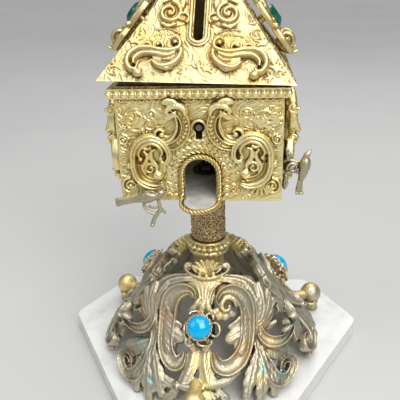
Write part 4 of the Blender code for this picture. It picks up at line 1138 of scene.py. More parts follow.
def chase_corners(relief):
    """Spiral and half shell in each lower corner."""
    for side in (-1, 1):
        relief.curl(side * 31.6, 118.0, 3.9, 90 if side > 0 else 90, -1.6 * side, 0.75, 1.1)
        for k in range(6):
            a = math.radians(215 + 20 * k) if side > 0 else math.radians(325 - 20 * k)
            u, v = side * 26.6, 120.4
            reach = 6.6
            relief.stroke(
                [
                    (u + 1.8 * math.cos(a), v + 1.8 * math.sin(a), 0.5),
                    (u + reach * math.cos(a), v + reach * math.sin(a) * 0.95, 1.0),
                ],
                0.9,
            )
        relief.curl(side * 16.6, 116.2, 2.3, 200, 1.4 * side, 0.6, 0.7)


def chase_upper_field(relief):
    """Larger curls, leaf sprays and the scallops under the bead moulding."""
    for side in (-1, 1):
        relief.curl(side * 27.0, 148.0, 5.2, 300, 1.3 * side, 0.6, 0.7)
        relief.sprig(side * 25.5, 145.0, 90 - side * 30, 6.5, 0.6, 6)
        relief.sprig(side * 33.0, 146.5, 90 + side * 20, 5.0, 0.6, 5)
        relief.curl(side * 33.4, 139.4, 2.5, 90, 1.5 * side, 0.5, 0.8)
        relief.stroke([(side * 20.0, 143.0, 0.3), (side * 26.0, 142.6, 0.6), (side * 34.5, 146.2, 0.4)], 0.6)
        relief.curl(side * 20.5, 150.5, 3.0, 200, -1.3 * side, 0.55, 0.6)
    for k in range(23):
        u = -33.0 + 3.0 * k
        relief.stroke([(u - 1.2, 157.0, 0.3), (u, 155.9, 0.45), (u + 1.2, 157.0, 0.3)], 0.6)


def wall_mesh(relief, side, cutters=()):
    relief.flow(len(side), 1.5, 0.24)
    relief.grain(3, 0.035)
    relief.fade(0.9)
    return cut(relief.plate(wall_place(side), WALL_T), cutters)


def make_walls():
    front = Relief((-BOX, BOX), (BOX_Z, BOX_TOP), 0.26)
    front.foliage(7, 8.4, near_front_mounts, 0.55)
    chase_upper_field(front)
    chase_arch(front)
    chase_corners(front)
    place = wall_place("front")
    openings = [prism(arch_outline(ARCH_R), place, -4, 4), prism(key_outline(), place, -4, 4)]
    finish_piece("chased_wall_front", wall_mesh(front, "front", openings), "yellow_gilt", "stand", ["box_front"])
    for k, side in enumerate(("back", "left", "right")):
        half = BOX if side == "back" else BOX - WALL_T - 0.02
        relief = Relief((-half, half), (BOX_Z, BOX_TOP), 0.34)
        relief.foliage(20 + k, 8.0, lambda u, v, size: v > 156.5 - size, 0.5)
        finish_piece(f"chased_wall_{side}", wall_mesh(relief, side), "yellow_gilt", "stand", [f"box_{side}"])


# ---------------------------------------------------------------- front mounts
def lay(controls, lift):
    return [(*c, lift) if len(c) == 3 else c for c in controls]


def upper_scroll(cast, place, side, beads=8):
    """Gadrooned C-scroll beside the keyhole: a beaded channel, a curled tail and a leafy head."""

    def put(points):
        return place(points * np.array([side, 1, 1]))

    channel = [(12.0, 154.2, 1.2), (8.7, 152.6, 1.8), (6.3, 149.6, 2.0), (5.4, 145.5, 2.1), (6.6, 141.4, 2.1)]
    channel += [(9.4, 138.3, 2.0), (12.8, 136.9, 1.6), (15.8, 137.2, 0.9)]
    ribbon(cast, lay(channel, 1.2), CHANNEL, 2.0, put, 1.8)
    for point in spline([(5.9, 149.4), (5.1, 145.6), (6.3, 141.5), (9.2, 138.4)], beads):
        cast.ball((point[0], point[1], 1.8), 0.72, put, segments=8)
    inside = [(7.0, 151.0, 0.6), (6.0, 146.0, 0.6), (7.6, 141.6, 0.6), (11.4, 138.2, 0.6), (16.6, 138.4, 0.6)]
    outside = [(10.6, 150.8, 0.6), (9.8, 146.4, 0.6), (11.0, 142.6, 0.6), (13.6, 141.6, 0.6), (17.2, 142.6, 0.6)]
    field(cast, inside, outside, 0.7, put, thick=1.4)
    tail = [(9.6, 150.6, 0.5), (8.9, 146.6, 0.7), (10.0, 142.6, 0.8), (12.6, 139.6, 0.9), (16.0, 139.0, 0.9)]
    tail += [(18.6, 140.8, 0.9), (18.4, 143.6, 0.8), (16.2, 144.6, 0.7), (14.6, 143.4, 0.6)]
    ribbon(cast, lay(tail, 1.4), ROUND, 1.7, put, 1.8)
    cast.ball((15.9, 142.2, 1.8), 1.25, put, segments=12)
    head = [(5.2, 150.8, 0.8), (5.6, 153.2, 1.3), (8.2, 154.8, 1.6), (11.4, 154.4, 1.4), (13.4, 152.4, 1.0)]
    head += [(12.6, 150.8, 0.6)]
    ribbon(cast, lay(head, 1.8), ROUND, 2.1, put, 2.2)
    leaf(cast, [(7.4, 154.6, 0.8, 2.4), (11.2, 156.6, 1.7, 2.8), (15.0, 156.0, 0.8, 2.0)], 1.1, put, 2)
    leaf(cast, [(9.0, 152.6, 0.7, 1.8), (11.6, 150.4, 1.5, 2.2), (14.4, 149.4, 0.6, 1.6)], 1.0, put, 2)
    cast.ball((13.2, 152.6, 2.8), 1.15, put, segments=10)


def cartouche(cast, place, side, pearl=True):
    """Oval rocaille mount: hooked double rim above, crescent below, leaf work and a pearl inside."""

    def put(points):
        return place(points * np.array([side, 1, 1]))

    rim = [(18.6, 130.6, 0.8), (16.2, 130.6, 1.1), (14.8, 133.4, 1.4), (15.7, 137.4, 1.7), (18.9, 140.6, 1.9)]
    rim += [(23.0, 141.6, 2.0), (27.4, 140.0, 1.9), (30.2, 136.2, 1.8), (30.8, 131.4, 1.6), (30.6, 127.0, 1.6)]
    rim += [(29.0, 122.6, 1.7), (25.6, 119.8, 1.9), (21.6, 118.9, 1.8), (17.8, 120.2, 1.1)]
    ribbon(cast, lay(rim, 1.4), LEAF, 2.2, put, 2.0)
    inner = [(18.6, 133.0, 0.6), (17.6, 135.4, 0.8), (19.6, 138.2, 0.9), (23.0, 139.2, 1.0), (26.4, 137.6, 0.9)]
    inner += [(28.2, 134.6, 0.8), (27.4, 132.4, 0.6)]
    ribbon(cast, lay(inner, 1.4), ROUND, 1.6, put, 1.6)
    cast.ball((18.4, 132.2, 2.0), 1.1, put, segments=10)
    cast.ball((27.4, 132.0, 2.0), 1.1, put, segments=10)
    crescent = [(28.6, 129.4, 0.9), (28.0, 125.6, 1.5), (25.4, 122.4, 2.0), (21.8, 121.4, 1.8), (18.4, 122.6, 0.9)]
    ribbon(cast, lay(crescent, 0.9), CHANNEL, 1.3, put, 1.4)
    for frond in (
        [(20.4, 136.6, 0.5), (22.6, 135.2, 0.9), (22.4, 131.6, 1.2), (20.4, 128.8, 1.0), (20.8, 126.4, 0.6)],
        [(26.0, 135.8, 0.5), (24.4, 133.6, 0.9), (25.2, 130.8, 1.1), (27.0, 128.0, 0.9), (25.6, 124.8, 0.6)],
        [(22.4, 137.6, 0.5), (24.2, 136.6, 0.9), (26.2, 137.2, 0.5)],
    ):
        ribbon(cast, lay(frond, 1.3), ROUND, 1.3, put, 1.4)
    curl = spiral(23.4, 127.4, 2.6, 0.7, 150, -1.2, 0.7, 0.5, 1.2)
    ribbon(cast, curl, ROUND, 1.2, put, 1.4, count=26)
    patch(cast, lambda v: (22.6, 6.2 * math.sqrt(max(1 - ((v - 130.2) / 10.4) ** 2, 0.02))), 120.2, 140.2, 0.9, put, 0.9)
    cast.ball((19.9, 124.6, 2.0), 2.25, put, segments=20)
    if pearl:
        cast.ball((32.4, 128.8, 1.2), 1.6, put, segments=16)
        ribbon(cast, [(30.0, 129.6, 0.7, 0.6), (32.4, 128.8, 0.9, 0.6)], ROUND, 0.8, put)


def make_wall_mounts():
    front = plane((0, -BOX - 0.3, 0), (1, 0, 0), (0, 0, 1))
    near = plane((1.6, -BOX - 0.3, -0.8), (1, 0, 0), (0, 0, 1))
    back = plane((0, BOX + 0.3, 0), (-1, 0, 0), (0, 0, 1))
    for side, name in ((-1, "left"), (1, "right")):
        cast = Casting()
        upper_scroll(cast, front, side)
        mesh = fuse(cast.mesh("scroll"), 0.24, 2)
        finish_piece(f"cast_scroll_{name}", mesh, "yellow_gilt", "stand", [f"scroll_front_{name}"])
        cast = Casting()
        cartouche(cast, front if side > 0 else near, side)
        mesh = fuse(cast.mesh("cartouche"), 0.26, 2)
        finish_piece(f"cast_cartouche_front_{name}", mesh, "yellow_gilt", "stand", [f"cartouche_front_{name}"])
        cast = Casting()
        cartouche(cast, back, side)
        mesh = fuse(cast.mesh("cartouche"), 0.3, 2)
        finish_piece(f"cast_cartouche_back_{name}", mesh, "yellow_gilt", "stand", [f"cartouche_back_{name}"])


# ---------------------------------------------------------------- mouldings
def make_keyhole_rim():
    cast = Casting()
    place = wall_place("front")
    path = [(u, v, 0.62, 0.5) for u, v in arc(0, KEY_Z, KEY_R + 0.85, -20, 200, 18)]
    ribbon(cast, path, ROUND, 0.9, place, 0.8)
    finish_piece("keyhole_moulding", fuse(cast.mesh("rim"), 0.16, 1), "yellow_gilt", "stand", ["keyhole_rim"])


def rope_path():
    """Centre line of the rope: up one leg, over the arch, down the other and round the landing, in millimetres."""
    half = (ROPE_HIGH[0] - ROPE_LOW[0]) / 2 - ROPE_R
    wall_y = -BOX - 1.35
    legs = [(half, wall_y, z) for z in (BOX_Z + 3.0, BOX_Z + 7.5)]
    over = [(u, wall_y, v) for u, v in arc(0, ARCH_SPRING, half, 0, 180, 16)]
    down = [(-half, wall_y, z) for z in (BOX_Z + 7.5, BOX_Z + 3.0)]
    reach = -ROPE_LOW[1] - ROPE_R
    start = BOX + 3.6
    landing = []
    for u, w in arc(0, 0, 1.0, 180, 360, 18):
        landing.append((half * u, -start + (reach - start) * w, BOX_Z + 0.7))
    return np.array(legs + over + down + landing)


def make_rope():
    centre = rope_path()
    closed = np.concatenate([centre, centre[:1]])
    step = np.concatenate([[0], np.cumsum(np.linalg.norm(np.diff(closed, axis=0), axis=1))])
    count = 420
    wanted = np.linspace(0, step[-1], count, endpoint=False)
    dense = np.stack([np.interp(wanted, step, closed[:, k]) for k in range(3)], 1)
    for _ in range(6):
        dense = (np.roll(dense, 1, 0) + 2 * dense + np.roll(dense, -1, 0)) / 4
    along = np.roll(dense, -1, 0) - np.roll(dense, 1, 0)
    along /= np.linalg.norm(along, axis=1)[:, None]
    first = np.cross(along, np.array([0.0, 1.0, 0.25]))
    first /= np.linalg.norm(first, axis=1)[:, None]
    second = np.cross(along, first)
    turns = round(step[-1] / 5.2)
    cast = Casting()
    for strand in range(3):
        phase = 2 * math.pi * (turns * np.arange(count) / count + strand / 3)
        offset = 0.60 * (np.cos(phase)[:, None] * first + np.sin(phase)[:, None] * second)
        tube(cast, dense + offset, 0.62, closed=True, sides=8)
    finish_piece("twisted_rope", cast.mesh("rope"), "rope_gilt", "stand", ["arch_rope"])


BEADS = 23
BEAD_R = 1.58


def make_bead_moulding():
    """Row of pearls between two fillets along the front and both sides."""
    cast = Casting()
    outer = BAND_HIGH[0]
    back_y = BAND_HIGH[1]
    inner = BOX + 0.3
    base = outer - BEAD_R
    corners = [(base, back_y), (base, -base), (-base, -base), (-base, back_y)]
    inside = [(inner, back_y), (inner, -inner), (-inner, -inner), (-inner, back_y)]
    profile = [(0.0, 157.4), (0.3, 157.5), (0.4, 157.7), (0.0, 157.9), (0.0, 160.9), (0.4, 161.1), (0.8, 161.4)]
    profile += [(0.9, 161.8), (0.7, BAND_HIGH[2])]
    rows = []
    for share, z in [(None, 157.4)] + profile + [(None, BAND_HIGH[2])]:
        row = []
        for (cx, cy), (ix, iy) in zip(corners, inside):
            if share is None:
                row.append((ix, iy, z))
            else:
                grow_y = 0 if cy > 0 else -share
                row.append((cx + math.copysign(share, cx), cy + grow_y, z))
        rows.append(row)
    verts = [p for row in rows for p in row]
    faces = []
    for i in range(len(rows)):
        j = (i + 1) % len(rows)
        for k in range(3):
            faces.append((4 * i + k, 4 * i + k + 1, 4 * j + k + 1, 4 * j + k))
    faces.append(tuple(4 * i for i in range(len(rows)))[::-1])
    faces.append(tuple(4 * i + 3 for i in range(len(rows))))
    cast.add(verts, faces)
    line = outer - BEAD_R
    pitch = 2 * line / (BEADS - 1)
    for k in range(BEADS):
        cast.ball((-line + k * pitch, -line, 159.3), BEAD_R, straight, segments=18)
        if 0 < k:
            for side in (-1, 1):
                cast.ball((side * line, min(-line + k * pitch, back_y - BEAD_R), 159.3), BEAD_R, straight, segments=16)
    mesh = fuse(cast.mesh("beads"), 0.34, 1)
    finish_piece("pearl_moulding", mesh, "rope_gilt", "stand", ["beaded_band"])


# ---------------------------------------------------------------- roof
def roof_half(v, h=0.0):
    """Half width of a roof face at a distance up the slope, on its mitre with the next face."""
    return EAVE - v * math.cos(SLOPE) + h * math.sin(SLOPE)


def roof_plate(relief, place):
    """Closed roof face with the relief on it and mitred hips."""
    rows = len(relief.v)
    shares = np.linspace(-1, 1, len(relief.u))
    top = np.zeros((rows, len(shares), 3))
    bottom = np.zeros_like(top)
    for i, v in enumerate(relief.v):
        half = roof_half(v)
        edge = np.clip((1 - np.abs(shares)) * half / 0.8, 0, 1)
        height = np.interp(shares * half, relief.u, relief.height[i]) * edge
        top[i, :, 0] = shares * roof_half(v, height)
        top[i, :, 2] = height
        inner_v = 0.9 + v * (1 - 0.9 / SLOPE_LENGTH)
        bottom[i, :, 0] = shares * roof_half(inner_v, -ROOF_T)
        bottom[i, :, 2] = -ROOF_T
        top[i, :, 1] = v
        bottom[i, :, 1] = inner_v
    cast = Casting()
    cast.slab(top, bottom, place)
    return cast.mesh("face")


def near_roof_mounts(u, v, size):
    a = abs(u)
    slot = a < 5.5 + size and 14 - size < v < 48
    rosette = a < 17 + size and 23 - size < v < 39 + size
    scroll = 4 - size < a < 30 + size and 0.5 - size < v < 20.5 + size
    return slot or rosette or scroll or a > roof_half(v) - 1.6 - size or v > 56


def chase_roof_front(relief):
    for side in (-1, 1):
        relief.stroke([(side * u, v, 0.55) for u, v in ((7.4, 22.2), (12.0, 24.4), (17.0, 24.0))], 0.7)
        relief.stroke([(side * u, v, 0.45) for u, v in ((7.0, 20.4), (12.0, 22.0), (18.5, 21.0), (22.0, 17.6))], 0.5)
        relief.curl(side * 22.4, 30.0, 3.0, 240, side * 1.2, 0.45, 0.5)
        relief.curl(side * 24.0, 22.0, 2.8, 60, side * 1.3, 0.45, 0.5)
        relief.sprig(side * 27.5, 17.5, 90 + side * 25, 5.0, 0.55, 5)
        relief.sprig(side * 32.0, 6.0, 90 - side * 15, 5.5, 0.55, 5)
        relief.sprig(side * 31.0, 3.0, 90 + side * 75, 4.0, 0.5, 4)
        relief.curl(side * 33.5, 4.6, 2.0, 0, side * 1.2, 0.4, 0.45)
        relief.stroke([(side * u, v, 0.5) for u, v in ((6.4, 46.0), (9.0, 50.0), (7.0, 54.0))], 0.6)
        relief.curl(side * 9.5, 43.5, 2.8, 300, side * 1.2, 0.5, 0.6)
        relief.sprig(side * 8.0, 40.0, 90 - side * 35, 4.2, 0.6, 5)
    relief.sprig(-3.5, 3.0, 120, 4.6, 0.4, 5)
    relief.sprig(3.5, 5.5, 60, 4.6, 0.4, 5)
    relief.curl(0.5, 9.0, 2.4, 200, 1.2, 0.4, 0.4)
    relief.curl(0, 50.6, 1.8, 270, 1.0, 0.5, 0.6)


def chase_roof_plain(relief):
    for side in (-1, 1):
        relief.curl(side * 15.0, 12.0, 6.0, 90, side * 1.4, 0.7, 0.7)
        relief.curl(side * 27.0, 8.0, 3.8, 270, -side * 1.3, 0.6, 0.6)
        relief.sprig(side * 21.0, 19.0, 90 - side * 20, 7.0, 0.7, 6)
        relief.curl(side * 8.5, 30.0, 4.0, 270, side * 1.3, 0.6, 0.6)
        relief.stroke([(side * u, v, 0.6) for u, v in ((2.0, 4.0), (9.0, 3.4), (18.0, 4.6), (30.0, 2.6))], 0.6)


def make_roof():
    """Four chased faces, the shelf under the eave and the little flat on top, in one piece."""
    cast = Casting()
    made = bmesh.new()
    for k, side in enumerate(("front", "right", "back", "left")):
        relief = Relief((-EAVE, EAVE), (0, SLOPE_LENGTH), 0.3)
        if side == "front":
            relief.foliage(41, 8.0, near_roof_mounts, 0.36)
            chase_roof_front(relief)
        else:
            relief.foliage(42 + k, 8.5, lambda u, v, size: abs(u) > roof_half(v) - 1.5 - size or v > 54, 0.5)
            if side == "back":
                chase_roof_plain(relief)
        relief.flow(60 + k, 1.4, 0.20, 5.5, 10.0)
        relief.grain(5 + k, 0.025)
        relief.height *= np.clip(np.minimum(relief.v, relief.v[-1] - relief.v) / 0.9, 0, 1)[:, None]
        place = roof_place(side)
        mesh = roof_plate(relief, place)
        if side == "front":
            loop = arc(0, SLOT_S[1] - SLOT_HALF, SLOT_HALF, 0, 180, 10)
            loop += arc(0, SLOT_S[0] + SLOT_HALF, SLOT_HALF, 180, 360, 10)
            mesh = cut(mesh, [prism(loop, place, -5, 5)])
        made.from_mesh(mesh)
    inner = SOFFIT_IN + 0.1
    outer = EAVE - 1.0
    low, high = EAVE_Z + 0.02, EAVE_Z + 0.8
    ring = []
    for half in (inner, outer):
        for z in (low, high):
            ring.append([(-half, -half, z), (half, -half, z), (half, half, z), (-half, half, z)])
    verts = ring[0] + ring[2] + ring[3] + ring[1]
    faces = []
    for i in range(4):
        j = (i + 1) % 4
        for a in range(4):
            b = (a + 1) % 4
            faces.append((4 * i + a, 4 * i + b, 4 * j + b, 4 * j + a))
    cast.add(verts, faces)
    top_half = ROOF_FLAT + 0.9
    z0, z1 = FLAT_Z - 1.2, FLAT_Z
    cap = [(-top_half, -top_half), (top_half, -top_half), (top_half, top_half), (-top_half, top_half)]
    flat = [(x * ROOF_FLAT / top_half, y * ROOF_FLAT / top_half, z1) for x, y in cap]
    cast.add([(x, y, z0) for x, y in cap] + flat, [(3, 2, 1, 0), (4, 5, 6, 7)] + [(a, (a + 1) % 4, 4 + (a + 1) % 4, 4 + a) for a in range(4)])
    made.from_mesh(cast.mesh("shelf"))
    bmesh.ops.recalc_face_normals(made, faces=made.faces)
    mesh = bpy.data.meshes.new("roof")
    made.to_mesh(mesh)
    made.free()
    lid_piece("chased_roof", mesh, "pale_gilt", ["roof_shell"], angle=50)


def lid_piece(name, mesh, look, stands_for, angle=None):
    """Piece on the lid, which has settled slightly askew on the box."""
    mesh.transform(LID_TILT)
    return finish_piece(name, mesh, look, "lid", stands_for, angle=angle)


def slot_collar(grow, low, high, cast, place, steps=20):
    """Raised rounded lip round the coin slot."""
    path = []
    top_v, foot_v = SLOT_S[1] - SLOT_HALF, SLOT_S[0] + SLOT_HALF
    reach = SLOT_HALF + grow
    path += arc(0, top_v, reach, 0, 180, steps)
    path += [(-reach, v) for v in np.linspace(top_v, foot_v, 24)[1:-1]]
    path += arc(0, foot_v, reach, 180, 360, steps)
    path += [(reach, v) for v in np.linspace(foot_v, top_v, 24)[1:-1]]
    lift = np.full((len(path), 1), high)
    tube(cast, place(np.concatenate([np.array(path), lift], 1)), low, closed=True, sides=10)


def make_slot_rim():
    place = roof_place("front")
    cast = Casting()
    slot_collar(1.25, 0.85, 0.5, cast, place)
    slot_collar(2.5, 0.42, 0.35, cast, place)
    for v in np.arange(SLOT_S[0] + 3, SLOT_S[1] - 2, 2.3):
        for side in (-1, 1):
            cast.ball((side * (SLOT_HALF + 2.5), v, 0.5), 0.5, place, segments=8)
    lid_piece("slot_moulding", fuse(cast.mesh("rim"), 0.24, 1), "pale_gilt", ["slot_rim"])


def roof_scroll(cast, place, side):
    """Long S-scroll low on the roof: a double channel from the hook at the corner to the eye by the slot."""

    def put(points):
        return place(points * np.array([side, 1, 1]))

    cast.ball((23.6, 3.2, 1.6), 1.75, put, (1.25, 1, 1), segments=14)
    rim = [(11.0, 18.0, 0.5), (9.4, 19.4, 0.9), (7.2, 18.0, 1.1), (7.2, 15.0, 1.2), (10.6, 13.5, 1.3), (15.2, 13.5, 1.3)]
    rim += [(19.8, 14.5, 1.3), (24.4, 14.2, 1.4), (27.6, 11.8, 1.45), (28.4, 8.2, 1.4), (26.8, 5.0, 1.3)]
    rim += [(24.4, 4.6, 1.0), (24.0, 6.4, 0.5)]
    ribbon(cast, lay(rim, 1.3), ROUND, 2.1, put, 1.9)
    cast.ball((9.2, 17.4, 1.6), 1.0, put, segments=12)
    second = [(8.6, 12.6, 0.8), (12.6, 11.2, 1.1), (17.6, 12.1, 1.1), (22.4, 12.2, 1.1), (25.4, 10.0, 1.1), (25.6, 7.2, 0.7)]
    ribbon(cast, lay(second, 1.1), ROUND, 1.8, put, 1.7)
    belly_top = [(7.6, 14.6, 1.0), (10.8, 12.4, 1.2), (14.4, 11.8, 1.2), (18.4, 12.0, 1.0)]
    belly_low = [(6.8, 12.0, 1.0), (8.8, 8.6, 1.2), (12.6, 7.0, 1.2), (17.6, 8.6, 1.0)]
    field(cast, belly_top, belly_low, 0.7, put, thick=1.6)
    belly = [(6.5, 16.0, 0.8), (6.6, 12.2, 1.2), (8.7, 8.7, 1.3), (12.2, 6.9, 1.3), (15.6, 6.8, 1.1), (18.4, 9.0, 0.6)]
    ribbon(cast, lay(belly, 1.0), ROUND, 1.8, put, 1.7)
    groove = [(8.6, 11.2, 0.4), (10.8, 9.6, 0.6), (14.0, 9.2, 0.4)]
    ribbon(cast, lay(groove, 2.0), ROUND, 0.8, put, 1.4)
    leaf(cast, [(17.4, 8.0, 0.5, 1.0), (13.4, 6.0, 1.3, 1.4), (9.8, 6.6, 0.7, 1.0)], 1.0, put, 2, 0.4)
    bud = [(14.0, 14.2, 0.5), (14.4, 17.0, 0.9), (16.6, 18.2, 1.0), (18.2, 17.0, 0.8), (17.6, 15.4, 0.6)]
    ribbon(cast, lay(bud, 0.6), ROUND, 1.2, put, 1.4)
    cast.ball((16.4, 16.6, 0.9), 0.9, put, segments=10)
    crest = [(18.6, 15.4, 0.4), (20.6, 17.4, 0.7), (23.2, 16.4, 0.5)]
    ribbon(cast, lay(crest, 0.6), ROUND, 0.9, put, 1.2)


def rosette(cast, place, side):
    """Two spirals with a shell between them, beside the coin slot."""

    def put(points):
        return place(points * np.array([side, 1, 1]))

    patch(cast, lambda v: (10.6, 7.4 * math.sqrt(max(1 - ((v - 31.6) / 6.4) ** 2, 0.02))), 25.4, 37.8, 0.8, put, 0.9)
    big = spiral(12.4, 31.6, 5.2, 0.9, 100, 1.55, 1.15, 0.7, 0.9, 12)
    ribbon(cast, big, ROUND, 1.3, put, 1.4, count=60)
    cast.ball((12.4, 31.6, 0.9), 1.2, put, segments=12)
    small = spiral(6.6, 29.2, 2.7, 0.6, 240, -1.25, 0.8, 0.5, 0.7, 12)
    ribbon(cast, small, ROUND, 1.2, put, 1.4, count=36)
    cast.ball((6.6, 29.2, 0.8), 0.9, put, segments=10)
    ribbon(cast, [(8.6, 36.4, 0.5, 0.7), (11.8, 38.2, 1.2, 0.7), (15.6, 36.2, 0.6, 0.7)], ROUND, 1.2, put, 1.4)
    leaf(cast, [(7.4, 33.0, 0.6, 0.8), (7.0, 36.2, 1.5, 1.0), (8.6, 39.4, 0.7, 0.8)], 0.9, put, 3, 0.35)
    leaf(cast, [(9.2, 26.4, 0.5, 0.8), (12.8, 25.4, 1.1, 0.9), (16.0, 27.0, 0.5, 0.8)], 0.8, put, 3, 0.35)


def make_roof_mounts():
    place = roof_place("front")
    for side, name in ((-1, "left"), (1, "right")):
        cast = Casting()
        roof_scroll(cast, place, side)
        lid_piece(f"cast_roof_scroll_{name}", fuse(cast.mesh("scroll"), 0.26, 2), "pale_gilt", [f"roof_scroll_{name}"])
        cast = Casting()
        rosette(cast, place, side)
        lid_piece(f"cast_rosette_{name}", fuse(cast.mesh("rosette"), 0.24, 1), "pale_gilt", [f"roof_rosette_{name}"])


STONE_V = 24.5
STONE_BASE = 6.2
STONE_GIRDLE = [(0.0, 0.0), (4.4, 0.0), (4.7, 0.7), (4.7, 1.1), (3.6, 2.5), (2.5, 3.1)]


def make_emerald(side, place):
    """Oval stone with a flat table and two rows of facets."""
    count = 12
    rings = []
    for k, (radius, height) in enumerate(STONE_GIRDLE[1:]):
        turn = 0.5 if k == 3 else 0.0
        ring = []
        for j in range(count):
            a = 2 * math.pi * (j + turn) / count
            ring.append((radius * math.cos(a), 1.28 * radius * math.sin(a) + STONE_V, STONE_BASE + height))
        rings.append(ring)
    points = np.array([p for ring in rings for p in ring])
    faces = [tuple(range(count))[::-1]]
    for r in range(len(rings) - 1):
        for j in range(count):
            a, b = r * count + j, r * count + (j + 1) % count
            c, d = a + count, b + count
            if r == 2:
                faces += [(a, b, c), (b, d, c)]
            elif r == 3:
                faces += [(a, b, d), (a, d, c)]
            else:
                faces.append((a, b, d, c))
    faces.append(tuple(range((len(rings) - 1) * count, len(rings) * count)))
    cast = Casting()
    cast.add(place(points), faces)
    mesh = cast.mesh("stone")
    mesh.transform(LID_TILT)
    finish_piece(f"cut_emerald_{side}", mesh, "emerald", "lid", [f"emerald_{side}"], smooth=False)


def emerald_setting(cast, place):
    """Openwork casting on legs: a scroll towards the eave, a leaf above and a claw bezel for the stone."""
    lift = 4.6
    for side in (-1, 1):
        curl = spiral(side * 6.4, 15.6, 4.6, 0.9, 90 + side * 40, side * -1.45, 1.4, 0.8, lift, 12)
        ribbon(cast, curl, CHANNEL, 1.6, place, 1.6, count=64)
        cast.ball((side * 6.4, 15.6, lift + 0.7), 1.3, place, segments=12)
        strap = [(side * 2.0, 9.0, 0.8), (side * 6.0, 7.6, 1.3), (side * 10.4, 9.6, 1.2), (side * 12.0, 14.6, 1.3)]
        strap += [(side * 10.2, 19.6, 1.4), (side * 10.8, 25.0, 1.4), (side * 9.6, 31.0, 1.3), (side * 5.4, 35.6, 1.0)]
        ribbon(cast, [(*c, lift) for c in strap], ROUND, 1.5, place, 1.4)
        frond = [(side * 8.0, 31.0, 0.8, lift), (side * 8.4, 36.0, 2.0, lift + 0.4), (side * 4.8, 40.6, 0.8, lift)]
        leaf(cast, frond, 1.1, place, 3, 0.35)
        cast.ball((side * 11.4, 20.6, lift + 0.8), 1.3, place, segments=12)
        cast.ball((side * 9.4, 29.4, lift + 1.0), 1.1, place, segments=12)
        tube(cast, place(np.array([(side * 9.0, 26.0, 0.45), (side * 9.0, 26.0, lift + 0.6)])), 1.1, sides=10)

        def upright(points, side=side):
            return place(np.stack([side * (6.6 + points[:, 2]), points[:, 0], points[:, 1]], 1))

        volute = spiral(12.6, 5.4, 4.0, 0.9, 250, -1.6, 1.2, 0.7, 0.0, 12)
        ribbon(cast, volute, ROUND, 1.6, upright, 1.6, count=60)
        cast.ball((12.6, 5.4, 0.8), 1.4, upright, segments=12)
        crown = [(22.0, 4.0, 0.8, 0.0), (29.0, 6.2, 1.3, 0.4), (35.4, 6.0, 1.5, 0.4), (40.4, 3.4, 0.8, 0.0)]
        ribbon(cast, crown, ROUND, 1.5, upright, 1.6)
        tail = [(14.0, 1.8, 0.9, 0.0), (9.4, 2.6, 1.2, 0.2), (6.4, 5.0, 1.0, 0.2), (5.6, 7.4, 0.6, 0.0)]
        ribbon(cast, tail, ROUND, 1.4, upright, 1.5)
    tube(cast, place(np.array([(0.0, 10.0, 0.45), (0.0, 10.0, lift + 0.6)])), 1.1, sides=10)
    leaf(cast, [(0, 13.0, 0.8, lift), (0, 10.0, 2.0, lift + 0.4), (0, 6.0, 0.8, lift)], 1.2, place, 3, 0.35)
    leaf(cast, [(0, 33.0, 1.2, lift), (0, 37.0, 2.4, lift + 0.6), (0, 41.6, 0.8, lift + 0.2)], 1.3, place, 3, 0.35)
    bezel = [(5.4 * math.cos(a), STONE_V + 6.8 * math.sin(a), lift + 1.4) for a in np.linspace(0, 2 * math.pi, 40, endpoint=False)]
    tube(cast, place(np.array(bezel)), 0.75, closed=True, sides=10)
    seat = [(5.0 * math.cos(a), STONE_V + 6.3 * math.sin(a), lift + 0.2) for a in np.linspace(0, 2 * math.pi, 40, endpoint=False)]
    tube(cast, place(np.array(seat)), 1.1, closed=True, sides=10)
    for k in range(14):
        a = 2 * math.pi * (k + 0.5) / 14
        cast.ball((5.9 * math.cos(a), STONE_V + 7.3 * math.sin(a), lift + 1.5), 0.72, place, segments=8)


def make_emeralds():
    for side in ("left", "right"):
        place = roof_place(side)
        cast = Casting()
        emerald_setting(cast, place)
        lid_piece(f"cast_setting_{side}", fuse(cast.mesh("setting"), 0.28, 2), "pale_gilt", [f"emerald_mount_{side}"])
        make_emerald(side, place)


def make_finial():
    """Turned knop with a gadrooned ball and a small tip on the roof's flat."""
    z = FLAT_Z
    profile = [(0.0, z - 5.0), (0.8, z - 5.0), (0.8, z + 0.3), (3.2, z + 0.3), (3.6, z + 0.6), (3.5, z + 1.0)]
    profile += [(2.8, z + 1.5), (1.8, z + 2.0), (1.3, z + 2.8), (1.5, z + 3.4), (2.3, z + 3.7), (2.4, z + 4.1)]
    profile += [(1.7, z + 4.5), (2.2, z + 5.2), (3.2, z + 6.2), (3.9, z + 7.6), (4.1, z + 8.8), (3.8, z + 10.2)]
    profile += [(2.9, z + 11.4), (1.7, z + 12.2), (1.0, z + 12.5), (0.9, z + 12.8), (0.5, z + 13.1), (0.0, z + 13.2)]

    def ripple(r, height, angles):
        swell = math.exp(-(((height - z - 8.4) / 2.6) ** 2))
        return 0.22 * swell * np.abs(np.sin(5 * angles))

    mesh = lathe([(max(r, 0.02), h) for r, h in profile], 80, ripple)
    mesh.transform(LID_TILT)
    finish_piece("turned_finial", mesh, "pale_gilt", "lid", ["finial"])


